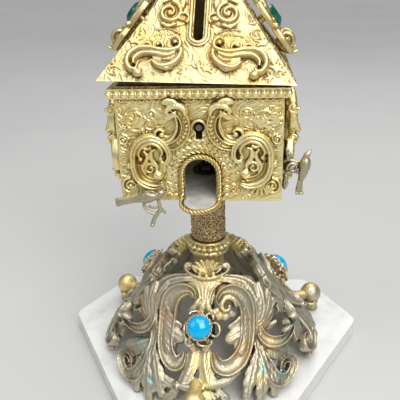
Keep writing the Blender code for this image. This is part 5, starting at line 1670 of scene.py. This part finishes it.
# ---------------------------------------------------------------- side mounts
def side_mount(cast, place):
    """Openwork of C-scrolls, shells and leaves that stands off a side wall on three legs."""
    for side in (-1, 1):
        upper = spiral(side * 13.0, 146.5, 6.6, 1.2, 90 - side * 20, side * -1.5, 1.9, 0.9, 3.4, 12)
        ribbon(cast, upper, CHANNEL, 2.0, place, 1.6, count=70)
        cast.ball((side * 13.0, 146.5, 4.4), 1.6, place, segments=12)
        lower = spiral(side * 19.0, 125.6, 6.8, 1.2, 90 + side * 30, side * -1.6, 2.0, 0.9, 3.2, 12)
        ribbon(cast, lower, CHANNEL, 2.0, place, 1.6, count=76)
        cast.ball((side * 19.0, 125.6, 4.4), 1.7, place, segments=12)
        strap = [(side * 3.0, 154.0, 1.0, 3.6), (side * 9.0, 155.0, 1.6, 4.2), (side * 16.0, 153.6, 1.6, 4.6)]
        strap += [(side * 21.6, 148.4, 1.8, 5.0), (side * 22.6, 142.0, 1.8, 5.2), (side * 20.6, 137.0, 1.6, 4.6)]
        strap += [(side * 24.6, 133.6, 1.6, 4.0), (side * 27.2, 129.0, 1.5, 3.6), (side * 27.4, 122.4, 1.2, 3.2)]
        ribbon(cast, strap, ROUND, 1.9, place, 1.8)
        frond = [(side * 20.6, 139.6, 1.0, 4.4), (side * 15.0, 136.4, 3.0, 5.0), (side * 8.0, 137.6, 1.2, 4.0)]
        leaf(cast, frond, 1.6, place, 4, 0.34)
        low = [(side * 12.6, 121.4, 1.0, 3.2), (side * 7.0, 120.0, 2.8, 3.8), (side * 2.6, 124.6, 1.0, 3.4)]
        leaf(cast, low, 1.5, place, 4, 0.34)
        ribbon(cast, [(side * 3.6, 152.0, 1.0, 3.4), (side * 5.4, 144.0, 1.6, 3.8), (side * 4.2, 136.0, 1.6, 3.8),
                      (side * 6.2, 128.0, 1.4, 3.4), (side * 11.0, 120.0, 1.3, 3.2), (side * 17.0, 117.6, 1.0, 3.0)],
               ROUND, 1.6, place, 1.6)
        cast.ball((side * 24.8, 118.6, 3.6), 1.8, place, segments=12)

        def upright(points, side=side):
            return place(np.stack([side * (23.0 + points[:, 2]), points[:, 0], points[:, 1]], 1))

        for z, out, size, turn in ((150.0, 4.6, 2.6, 1.3), (136.0, 5.0, 2.9, -1.3), (121.6, 3.8, 2.3, 1.3)):
            curl = spiral(z, out, size, 0.7, 90 * (1 if turn > 0 else -1), turn, 0.9, 0.5, 0.0, 12)
            ribbon(cast, curl, ROUND, 1.3, upright, 1.5, count=40)
            cast.ball((z, out, 0.6), 1.1, upright, segments=10)
        for z, out in ((143.6, 5.8), (141.0, 6.2), (129.4, 4.8), (126.8, 4.6)):
            cast.ball((side * 22.8, z, out), 1.5, place, (1.2, 1, 1), segments=10)
        spray = [(145.0, 3.4, 0.9, 0.0), (141.6, 6.4, 1.5, 0.4), (138.6, 8.0, 0.6, 0.0)]
        leaf(cast, spray, 1.0, upright, 3, 0.35)
        tube(cast, place(np.array([(side * 23.3, 127.0, 0.45), (side * 23.3, 127.0, 3.4)])), 1.2)
    tube(cast, place(np.array([(0.0, 144.0, 0.45), (0.0, 144.0, 3.6)])), 1.2)
    fan(cast, (0, 148.6), 7.4, 20, 160, 7, 2.0, place, 3.2, 1.6)
    leaf(cast, [(0, 146.0, 1.6, 3.4), (0, 138.0, 3.4, 4.6), (0, 129.0, 1.4, 3.4)], 1.8, place, 5, 0.34)
    cast.ball((0, 147.6, 4.6), 1.8, place, segments=14)


def make_side_mounts():
    for side in ("left", "right"):
        cast = Casting()
        side_mount(cast, wall_place(side))
        mesh = fuse(cast.mesh("mount"), 0.36, 2)
        finish_piece(f"cast_side_mount_{side}", mesh, "yellow_gilt", "stand", [f"side_mount_{side}"])


# ---------------------------------------------------------------- collets and stones
def collet_mm(angle):
    """Mapping with u across, v up the panel and h along the normal, from the panel's face at the stone."""
    s, across = COLLET
    r = np.interp(s, PROFILE_S, FOOT_PROFILE[:, 0])
    z = np.interp(s, PROFILE_S, FOOT_PROFILE[:, 1])
    i = np.searchsorted(PROFILE_S, s)
    slope = FOOT_PROFILE[i] - FOOT_PROFILE[i - 1]
    slope /= np.linalg.norm(slope)
    turn = np.array(Matrix.Rotation(math.radians(angle), 3, "Z"))
    axes = np.array([(0, 1, 0), (-slope[0], 0, -slope[1]), (-slope[1], 0, slope[0])]) @ turn.T
    base = turn @ np.array((r, across, z))

    def place(points):
        return base + points @ axes

    return place


def ring_band(cast, profile, place, segments=72, ripple=None, centre=(0, 0)):
    """Turned ring with a closed (radius, height) section."""
    angles = np.linspace(0, 2 * math.pi, segments, endpoint=False)
    points = []
    for r, z in profile:
        reach = r + (ripple(r, z, angles) if ripple else np.zeros(segments))
        points.append(np.stack([centre[0] + reach * np.cos(angles), centre[1] + reach * np.sin(angles),
                                np.full(segments, float(z))], 1))
    faces = []
    rows = len(profile)
    for i in range(rows):
        j = (i + 1) % rows
        for k in range(segments):
            m = (k + 1) % segments
            faces.append((i * segments + k, i * segments + m, j * segments + m, j * segments + k))
    cast.add(place(np.concatenate(points)), faces)


def wire_loop(cast, place, centre, size, start, sweep, height, radius):
    """Bent wire that leaves the collet, runs round an ellipse and returns."""
    angles = np.radians(np.linspace(start, start + sweep, 22))
    points = np.stack([centre[0] + size[0] * np.cos(angles), centre[1] + size[1] * np.sin(angles),
                       height + 0.5 * np.cos(angles * 2)], 1)
    tube(cast, place(points), radius)


STONE_R = 5.9
STONE_SEAT = 9.6


def collet(cast, place):
    cup = [(3.0, 2.7), (4.6, 2.7), (4.9, 4.0), (4.2, 5.2), (5.2, 7.0), (6.1, 8.6), (6.3, 10.0), (6.5, 10.9)]
    cup += [(6.0, 11.2), (5.75, 10.8), (5.7, 9.5), (4.6, 8.6), (3.0, 6.0)]

    def teeth(r, z, angles):
        return 0.22 * np.sin(22 * angles) if z > 9.9 else np.zeros_like(angles)

    ring_band(cast, cup, place, 132, teeth)
    wire_loop(cast, place, (7.4, -0.9), (2.5, 3.2), -160, 320, 8.0, 0.62)
    wire_loop(cast, place, (5.0, 5.0), (1.7, 1.7), -130, 300, 8.6, 0.75)
    wire_loop(cast, place, (-1.6, 6.3), (3.2, 1.4), -10, 200, 8.8, 0.6)
    wire_loop(cast, place, (-6.2, -1.4), (1.2, 3.4), 80, 200, 8.2, 0.7)
    wire_loop(cast, place, (-4.6, -6.2), (2.0, 2.8), 110, 220, 7.2, 0.75)
    wire_loop(cast, place, (2.6, -6.9), (3.4, 1.9), 170, 210, 7.6, 0.7)
    ribbon(cast, [(-5.2, -5.2, 0.9, 7.0), (-4.0, -8.4, 1.7, 5.4), (-2.4, -11.6, 1.8, 3.6)], ROUND, 1.3, place, 2.4)
    ribbon(cast, [(4.6, -5.6, 0.9, 7.0), (3.8, -8.6, 1.7, 5.4), (2.2, -11.6, 1.8, 3.6)], ROUND, 1.3, place, 2.4)
    for angle in (18, 96, 160, 228, 300):
        a = math.radians(angle)
        foot = (5.0 * math.cos(a), 5.0 * math.sin(a), 5.0)
        knee = (6.9 * math.cos(a), 6.9 * math.sin(a), 8.8)
        claw = (6.2 * math.cos(a), 6.2 * math.sin(a), 11.1)
        hook = (5.2 * math.cos(a), 5.2 * math.sin(a), 11.9)
        tube(cast, place(spline([foot, knee, claw, hook], 12)), np.linspace(0.8, 0.42, 12))
    for k in range(7):
        a = math.radians(12 + 360 * k / 7)
        cast.ball((5.3 * math.cos(a), 5.3 * math.sin(a), 4.2), 0.95, place, segments=10)


def make_stones():
    for side, angle in PANEL_ANGLES.items():
        place = collet_mm(angle)
        cast = Casting()
        collet(cast, place)
        mesh = fuse(cast.mesh("collet"), 0.24, 1)
        finish_piece(f"openwork_collet_{side}", mesh, "collet_gilt", "stand", [f"turquoise_collet_{side}"])
        dome = [(0.02, 0.0), (STONE_R - 0.5, 0.0), (STONE_R - 0.1, 0.35), (STONE_R, 1.0)]
        dome += [(STONE_R * math.cos(a), 1.0 + 3.7 * math.sin(a)) for a in np.linspace(0.12, math.pi / 2 - 0.1, 14)]
        dome += [(0.02, 4.7)]
        stone = lathe(dome, 64)
        points = np.array([v.co[:] for v in stone.vertices]) / MM + np.array((0, 0, STONE_SEAT))
        stone.vertices.foreach_set("co", (place(points) * MM).astype(np.float32).ravel())
        stone.update()
        finish_piece(f"cabochon_{side}", stone, "turquoise", "stand", [f"turquoise_{side}"])


# ---------------------------------------------------------------- stem and collar
def make_stem():
    """Tube chased all over with small scales, curls and leaves."""
    low_r, high_r = STEM_LOW_R, STEM_HIGH_R
    girth = 2 * math.pi * low_r
    relief = Relief((0, girth), (STEM_LOW[2], STEM_HIGH[2]), 0.24)
    relief.foliage(91, 5.2, lambda u, v, size: False, 0.75)
    for row in range(15):
        v = STEM_LOW[2] + 1.4 + 2.3 * row
        for k in range(16):
            u = (k + 0.5 * (row % 2)) * girth / 16
            if (k * 7 + row * 5) % 4:
                relief.stroke([(u - 1.3, v + 0.8, 0.25), (u, v - 0.5, 0.5), (u + 1.3, v + 0.8, 0.25)], 0.5)
    relief.grain(92, 0.05)
    relief.fade(0.5)
    columns = len(relief.u) - 1
    rows = len(relief.v)
    angles = math.pi / 2 + 2 * math.pi * np.arange(columns) / columns
    share = (relief.v - relief.v[0]) / (relief.v[-1] - relief.v[0])
    base = low_r + (high_r - low_r) * share
    outer = base[:, None] + relief.height[:, :columns]
    inner = np.repeat((base - STEM_WALL)[:, None], columns, 1)
    rings = []
    for radius in (outer, inner):
        zz = np.repeat(relief.v[:, None], columns, 1)
        rings.append(np.stack([radius * np.cos(angles), radius * np.sin(angles), zz], -1).reshape(-1, 3))
    faces = []
    count = rows * columns
    for i in range(rows - 1):
        for k in range(columns):
            m = (k + 1) % columns
            a, b, c, d = i * columns + k, i * columns + m, (i + 1) * columns + k, (i + 1) * columns + m
            faces += [(a, b, d, c), (a + count, c + count, d + count, b + count)]
    for k in range(columns):
        m = (k + 1) % columns
        top = (rows - 1) * columns
        faces += [(m, k, k + count, m + count), (top + k, top + m, top + m + count, top + k + count)]
    cast = Casting()
    cast.add(np.concatenate(rings), faces)
    finish_piece("chased_stem", cast.mesh("stem"), "stem_gilt", "stand", ["stem_tube"])


def make_collar():
    """Beaded ring under the stem, with a flared lip above it and a scalloped skirt below."""
    cast = Casting()
    skirt = [(6.1, 58.2), (7.9, 58.2), (8.0, 64.4), (8.6, 65.6), (9.6, 66.6), (10.4, 67.6), (10.2, 68.6), (9.7, 69.4)]
    skirt += [(9.5, 72.6), (9.9, 73.2), (10.3, 73.8), (10.3, 74.2), (9.9, 74.6), (9.2, 74.8), (8.9, 74.8), (8.7, 74.4), (6.1, 74.4)]

    def scallop(r, z, angles):
        if 65.0 < z < 69.0 and r > 8.2:
            return 0.4 * np.abs(np.sin(10 * angles))
        if z > 73.4 and r > 9.5:
            return 0.25 * np.abs(np.sin(9 * angles))
        return np.zeros_like(angles)

    ring_band(cast, skirt, straight, 160, scallop)
    for k in range(20):
        a = 2 * math.pi * (k + 0.5) / 20
        cast.ball((10.1 * math.cos(a), 10.1 * math.sin(a), 71.2), 1.66, straight, (1, 1, 0.95), segments=16)
        cast.ball((10.0 * math.cos(a), 10.0 * math.sin(a), 67.4), 0.8, straight, (1, 1, 1.5), segments=8)
    for k in range(9):
        a = 2 * math.pi * (k + 0.35) / 9
        points = [(9.3, 73.0), (9.8, 73.6), (9.9, 74.4)]
        path = [(r * math.cos(a + 0.06 * i), r * math.sin(a + 0.06 * i), z) for i, (r, z) in enumerate(points)]
        tube(cast, spline(path, 8), np.linspace(0.8, 0.5, 8), sides=8)
    finish_piece("beaded_collar", fuse(cast.mesh("collar"), 0.3, 1), "yellow_gilt", "stand", ["foot_collar"])
    cast = Casting()
    low, high = FLANGE_LOW[2], FLANGE_HIGH[2]
    disc = [(3.0, low), (11.0, low), (11.8, low + 0.2), (12.4, low + 0.5), (13.0, low + 0.8), (13.0, high - 0.2)]
    disc += [(12.8, high), (3.0, high)]
    ring_band(cast, disc, straight, 120, lambda r, z, a: 0.12 * np.sin(36 * a) if r > 12.2 else 0 * a)
    finish_piece("stem_top_flange", cast.mesh("flange"), "stem_gilt", "stand", ["stem_flange"])


# ---------------------------------------------------------------- birds and twigs
def loft(cast, controls, place, sides=18, count=46):
    """Rounded body along (u, v, half height, half depth, h) controls."""
    path = spline(controls, count)
    centre = path[:, :2]
    along = np.gradient(centre, axis=0)
    along /= np.linalg.norm(along, axis=1)[:, None]
    side = np.stack([-along[:, 1], along[:, 0]], 1)
    angles = np.linspace(0, 2 * math.pi, sides, endpoint=False)
    rings = np.zeros((count, sides, 3))
    rings[:, :, :2] = centre[:, None] + side[:, None] * (np.cos(angles)[None, :, None] * path[:, 2][:, None, None])
    rings[:, :, 2] = path[:, 4][:, None] + np.sin(angles)[None, :] * path[:, 3][:, None]
    faces = [tuple(range(sides)), tuple(range((count - 1) * sides, count * sides))[::-1]]
    for i in range(count - 1):
        for k in range(sides):
            m = (k + 1) % sides
            faces.append((i * sides + k, (i + 1) * sides + k, (i + 1) * sides + m, i * sides + m))
    cast.add(place(rings.reshape(-1, 3)), faces)


def feather_lines(cast, starts, ends, place, radius=0.26):
    for start, end in zip(starts, ends):
        middle = tuple((a + b) / 2 for a, b in zip(start, end))
        tube(cast, place(spline([start, middle, end], 10)), radius, sides=6)


def make_bird_front():
    """Bird perched under the left corner with a long ribbed tail that flares at its tip."""
    place = plane((0, -41.4, 0), (1, 0, 0), (0, 0, 1))
    cast = Casting()
    tail = [(-37.6, 111.7, 2.2, 0.6, -0.2), (-35.6, 112.3, 2.0, 0.7, -0.1), (-32.0, 112.9, 1.6, 0.9, 0.0)]
    tail += [(-28.6, 113.3, 1.4, 1.0, 0.1), (-25.8, 114.2, 2.4, 1.9, 0.2), (-22.8, 115.0, 2.9, 2.5, 0.3)]
    tail += [(-20.2, 115.4, 2.1, 2.1, 0.4), (-18.4, 116.0, 1.4, 1.5, 0.5), (-17.0, 116.8, 1.5, 1.5, 0.6)]
    tail += [(-15.9, 117.0, 1.0, 1.1, 0.6), (-14.8, 116.6, 0.35, 0.4, 0.5), (-13.9, 116.2, 0.12, 0.15, 0.5)]
    loft(cast, tail, place)
    for k in range(5):
        offset = -1.2 + 0.6 * k
        start = (-37.9, 111.7 + offset * 1.25, 0.5)
        end = (-27.0, 113.7 + offset * 0.7, 1.1)
        feather_lines(cast, [start], [end], place)
    wing = [(-19.6, 115.6, 0.8, 1.8), (-22.8, 115.5, 2.0, 2.3), (-27.6, 113.9, 1.3, 1.2), (-30.0, 113.3, 0.4, 0.8)]
    leaf(cast, wing, 0.7, place, 6, 0.22, 0.8)
    cast.ball((-16.8, 117.1, 2.0), 0.38, place, segments=8)
    tube(cast, place(np.array([(-18.9, 116.6, 1.6), (-20.4, 117.9, 1.6), (-22.2, 118.0, 1.4)])), 0.4, sides=8)
    finish_piece("bird_perched", fuse(cast.mesh("bird"), 0.2, 1), "bird_gilt", "stand", ["bird_front"])
    cast = Casting()
    left = [(-23.9, 112.9, 0.0), (-25.2, 110.4, 0.2), (-23.4, 108.0, 0.5), (-20.6, 106.5, 0.4), (-19.0, 105.6, 0.2)]
    tube(cast, place(spline(left, 20)), 0.72)
    right = [(-18.6, 113.4, 0.2), (-18.0, 110.6, 0.4), (-18.0, 108.4, 0.4), (-19.6, 106.2, 0.2), (-21.0, 103.6, 0.0)]
    right += [(-21.9, 100.9, -0.1)]
    tube(cast, place(spline(right, 26)), np.linspace(0.8, 1.05, 26))
    cross = [(-23.2, 110.2, 0.2), (-20.8, 109.6, 0.6), (-18.2, 110.0, 0.4)]
    tube(cast, place(spline(cross, 10)), 0.55)
    for u, v, r in ((-17.6, 109.0, 0.95), (-20.2, 105.4, 0.9), (-24.6, 109.4, 0.8), (-21.9, 100.9, 1.1)):
        cast.ball((u, v, 0.3), r, place, segments=10)
    leaf(cast, [(-18.4, 109.0, 0.5, 0.2), (-16.6, 108.0, 0.9, 0.2), (-15.6, 106.4, 0.3, 0.0)], 0.5, place, 2, 0.3, 0.5)
    finish_piece("twig_perch", fuse(cast.mesh("twig"), 0.2, 1), "bird_gilt", "stand", ["twig_front"])


def make_bird_side():
    """Bird held out from the right wall, beak raised and tail hanging down."""
    place = plane((0, -31.0, 0), (1, 0, 0), (0, 0, 1))
    cast = Casting()
    body = [(44.1, 112.8, 1.7, 0.6, 0.0), (43.9, 114.4, 1.6, 0.8, 0.0), (44.1, 117.0, 1.25, 1.0, 0.0)]
    body += [(44.6, 119.8, 1.4, 1.3, 0.0), (45.2, 122.6, 2.0, 2.0, 0.1), (45.9, 125.6, 2.6, 2.6, 0.2)]
    body += [(46.2, 128.0, 2.3, 2.4, 0.2), (46.3, 129.6, 1.5, 1.6, 0.2), (46.9, 131.0, 1.35, 1.4, 0.2)]
    body += [(47.8, 132.0, 0.8, 0.8, 0.2), (48.4, 132.9, 0.4, 0.4, 0.2), (48.9, 133.9, 0.14, 0.14, 0.2)]
    loft(cast, body, place)
    for k in range(4):
        offset = -0.95 + 0.62 * k
        feather_lines(cast, [(44.0 + offset * 1.4, 112.6, 0.6)], [(44.4 + offset * 0.9, 119.0, 1.2)], place)
    leaf(cast, [(46.6, 128.0, 0.7, 2.0), (45.8, 124.6, 1.9, 2.5), (44.8, 119.4, 0.9, 1.2)], 0.7, place, 5, 0.22, 0.8)
    cast.ball((47.2, 131.2, 1.5), 0.36, place, segments=8)
    for u in (43.0, 44.4, 45.4):
        cast.ball((u, 112.6, 0.5), 0.75, place, segments=8)
    finish_piece("bird_hanging", fuse(cast.mesh("bird"), 0.2, 1), "bird_gilt", "stand", ["bird_side"])
    cast = Casting()
    stem = [(36.6, 120.4, 0.0), (38.4, 122.6, 0.2), (41.0, 123.0, 0.2), (43.8, 122.4, 0.0)]
    tube(cast, place(spline(stem, 16)), 0.8)
    upper = [(36.6, 127.6, 0.0), (38.6, 128.6, 0.2), (41.0, 128.0, 0.2), (43.8, 127.4, 0.0)]
    tube(cast, place(spline(upper, 16)), np.linspace(0.9, 0.6, 16))
    curl = spiral(40.6, 124.9, 2.5, 0.7, 200, -1.3, 0.7, 0.5, 0.6, 12)
    ribbon(cast, curl, ROUND, 1.0, place, 1.2, count=40)
    cast.ball((40.6, 124.9, 0.9), 0.8, place, segments=10)
    leaf(cast, [(38.0, 121.6, 0.8, 0.4), (37.6, 118.0, 1.6, 0.8), (37.4, 114.6, 0.5, 0.3)], 0.9, place, 3, 0.34, 0.9)
    leaf(cast, [(38.2, 128.0, 0.8, 0.4), (38.6, 131.0, 1.4, 0.8), (37.6, 134.0, 0.5, 0.3)], 0.9, place, 3, 0.34, 0.9)
    leaf(cast, [(41.8, 128.0, 0.5, 0.3), (42.6, 126.0, 1.0, 0.5), (42.4, 124.0, 0.4, 0.2)], 0.7, place, 2, 0.3, 0.7)
    finish_piece("twig_bracket", fuse(cast.mesh("twig"), 0.2, 1), "bird_gilt", "stand", ["twig_side"])


# ---------------------------------------------------------------- stage
def area_light(name, place, target, size, power, colour):
    light = bpy.data.lights.new(name, "AREA")
    light.shape = "RECTANGLE"
    light.size, light.size_y = size
    light.energy = power
    light.color = colour
    lamp = bpy.data.objects.new(name, light)
    bpy.context.scene.collection.objects.link(lamp)
    lamp.location = place
    lamp.rotation_euler = (Vector(target) - Vector(place)).to_track_quat("-Z", "Y").to_euler()


def make_world():
    """Soft surroundings: pale behind the object, dimmer in reflections so that the metal keeps its depth."""
    world = bpy.data.worlds.new("studio")
    bpy.context.scene.world = world
    world.use_nodes = True
    tree = world.node_tree
    background = tree.nodes["Background"]
    path = tree.nodes.new("ShaderNodeLightPath")
    colour = mix(tree, path.outputs["Is Camera Ray"], (0.10, 0.103, 0.11), (0.40, 0.405, 0.41))
    tree.links.new(colour, background.inputs["Color"])
    background.inputs["Strength"].default_value = 1.0


def make_stage():
    bpy.ops.mesh.primitive_plane_add(size=8.0, location=(0, 0, -0.0002))
    floor = bpy.context.object
    floor.name = "floor"
    mat, tree, shader = start_material("studio_floor")
    tone = ramp(tree, noise(tree, 3.0), [(0.3, (0.50, 0.50, 0.49)), (0.7, (0.54, 0.54, 0.53))])
    tree.links.new(tone, shader.inputs["Base Color"])
    shader.inputs["Roughness"].default_value = 0.85
    floor.data.materials.append(mat)
    make_world()
    area_light("key", (0.32, -0.66, 0.72), (0, 0, 0.08), (0.62, 0.50), 6.2, (1.0, 0.98, 0.94))
    area_light("fill", (-0.70, -0.40, 0.62), (0, 0, 0.05), (0.6, 0.6), 1.6, (0.95, 0.97, 1.0))
    area_light("back", (0.2, 0.62, 0.80), (0, 0, 0.05), (0.6, 0.5), 1.8, (0.96, 0.98, 1.0))
    overhead = bpy.data.lights.new("overhead", "SUN")
    overhead.energy = 2.1
    overhead.angle = math.radians(50)
    lamp = bpy.data.objects.new("overhead", overhead)
    bpy.context.scene.collection.objects.link(lamp)
    lamp.rotation_euler = (math.radians(8), math.radians(6), 0)


CAMERA_AT = (21.56, -262.97, 209.15)  # millimetres
CAMERA_TURN = (5.5477, 23.2911, -1.8391)  # azimuth, elevation and roll in degrees
CAMERA_LENS = 49.5


def make_camera():
    azimuth, elevation, roll = (math.radians(a) for a in CAMERA_TURN)
    back = Vector(
        (math.sin(azimuth) * math.cos(elevation), -math.cos(azimuth) * math.cos(elevation), math.sin(elevation))
    )
    right = Vector((math.cos(azimuth), math.sin(azimuth), 0))
    up = back.cross(right)
    turned_right = math.cos(roll) * right + math.sin(roll) * up
    turned_up = math.cos(roll) * up - math.sin(roll) * right
    data = bpy.data.cameras.new("camera")
    data.lens = CAMERA_LENS
    data.sensor_width = 36
    data.clip_start = 0.01
    camera = bpy.data.objects.new("camera", data)
    bpy.context.scene.collection.objects.link(camera)
    matrix = Matrix((turned_right, turned_up, back)).transposed().to_4x4()
    matrix.translation = Vector(CAMERA_AT) * MM
    camera.matrix_world = matrix
    bpy.context.scene.camera = camera
    bpy.context.scene.view_settings.view_transform = "Standard"


def dress_frame():
    """Gives every CAD node that stays its finish."""
    slots = {part["node"]: part["material_slot"] for part in frame["record"]["subparts"]}
    for name, obj in NODES.items():
        obj.data.materials.clear()
        obj.data.materials.append(LOOKS[slots[name]])


dress_frame()
make_foot_panels()
make_walls()
make_wall_mounts()
make_keyhole_rim()
make_rope()
make_bead_moulding()
make_side_mounts()
make_stones()
make_stem()
make_collar()
make_bird_front()
make_bird_side()
make_roof()
make_slot_rim()
make_roof_mounts()
make_emeralds()
make_finial()
make_stage()
make_camera()
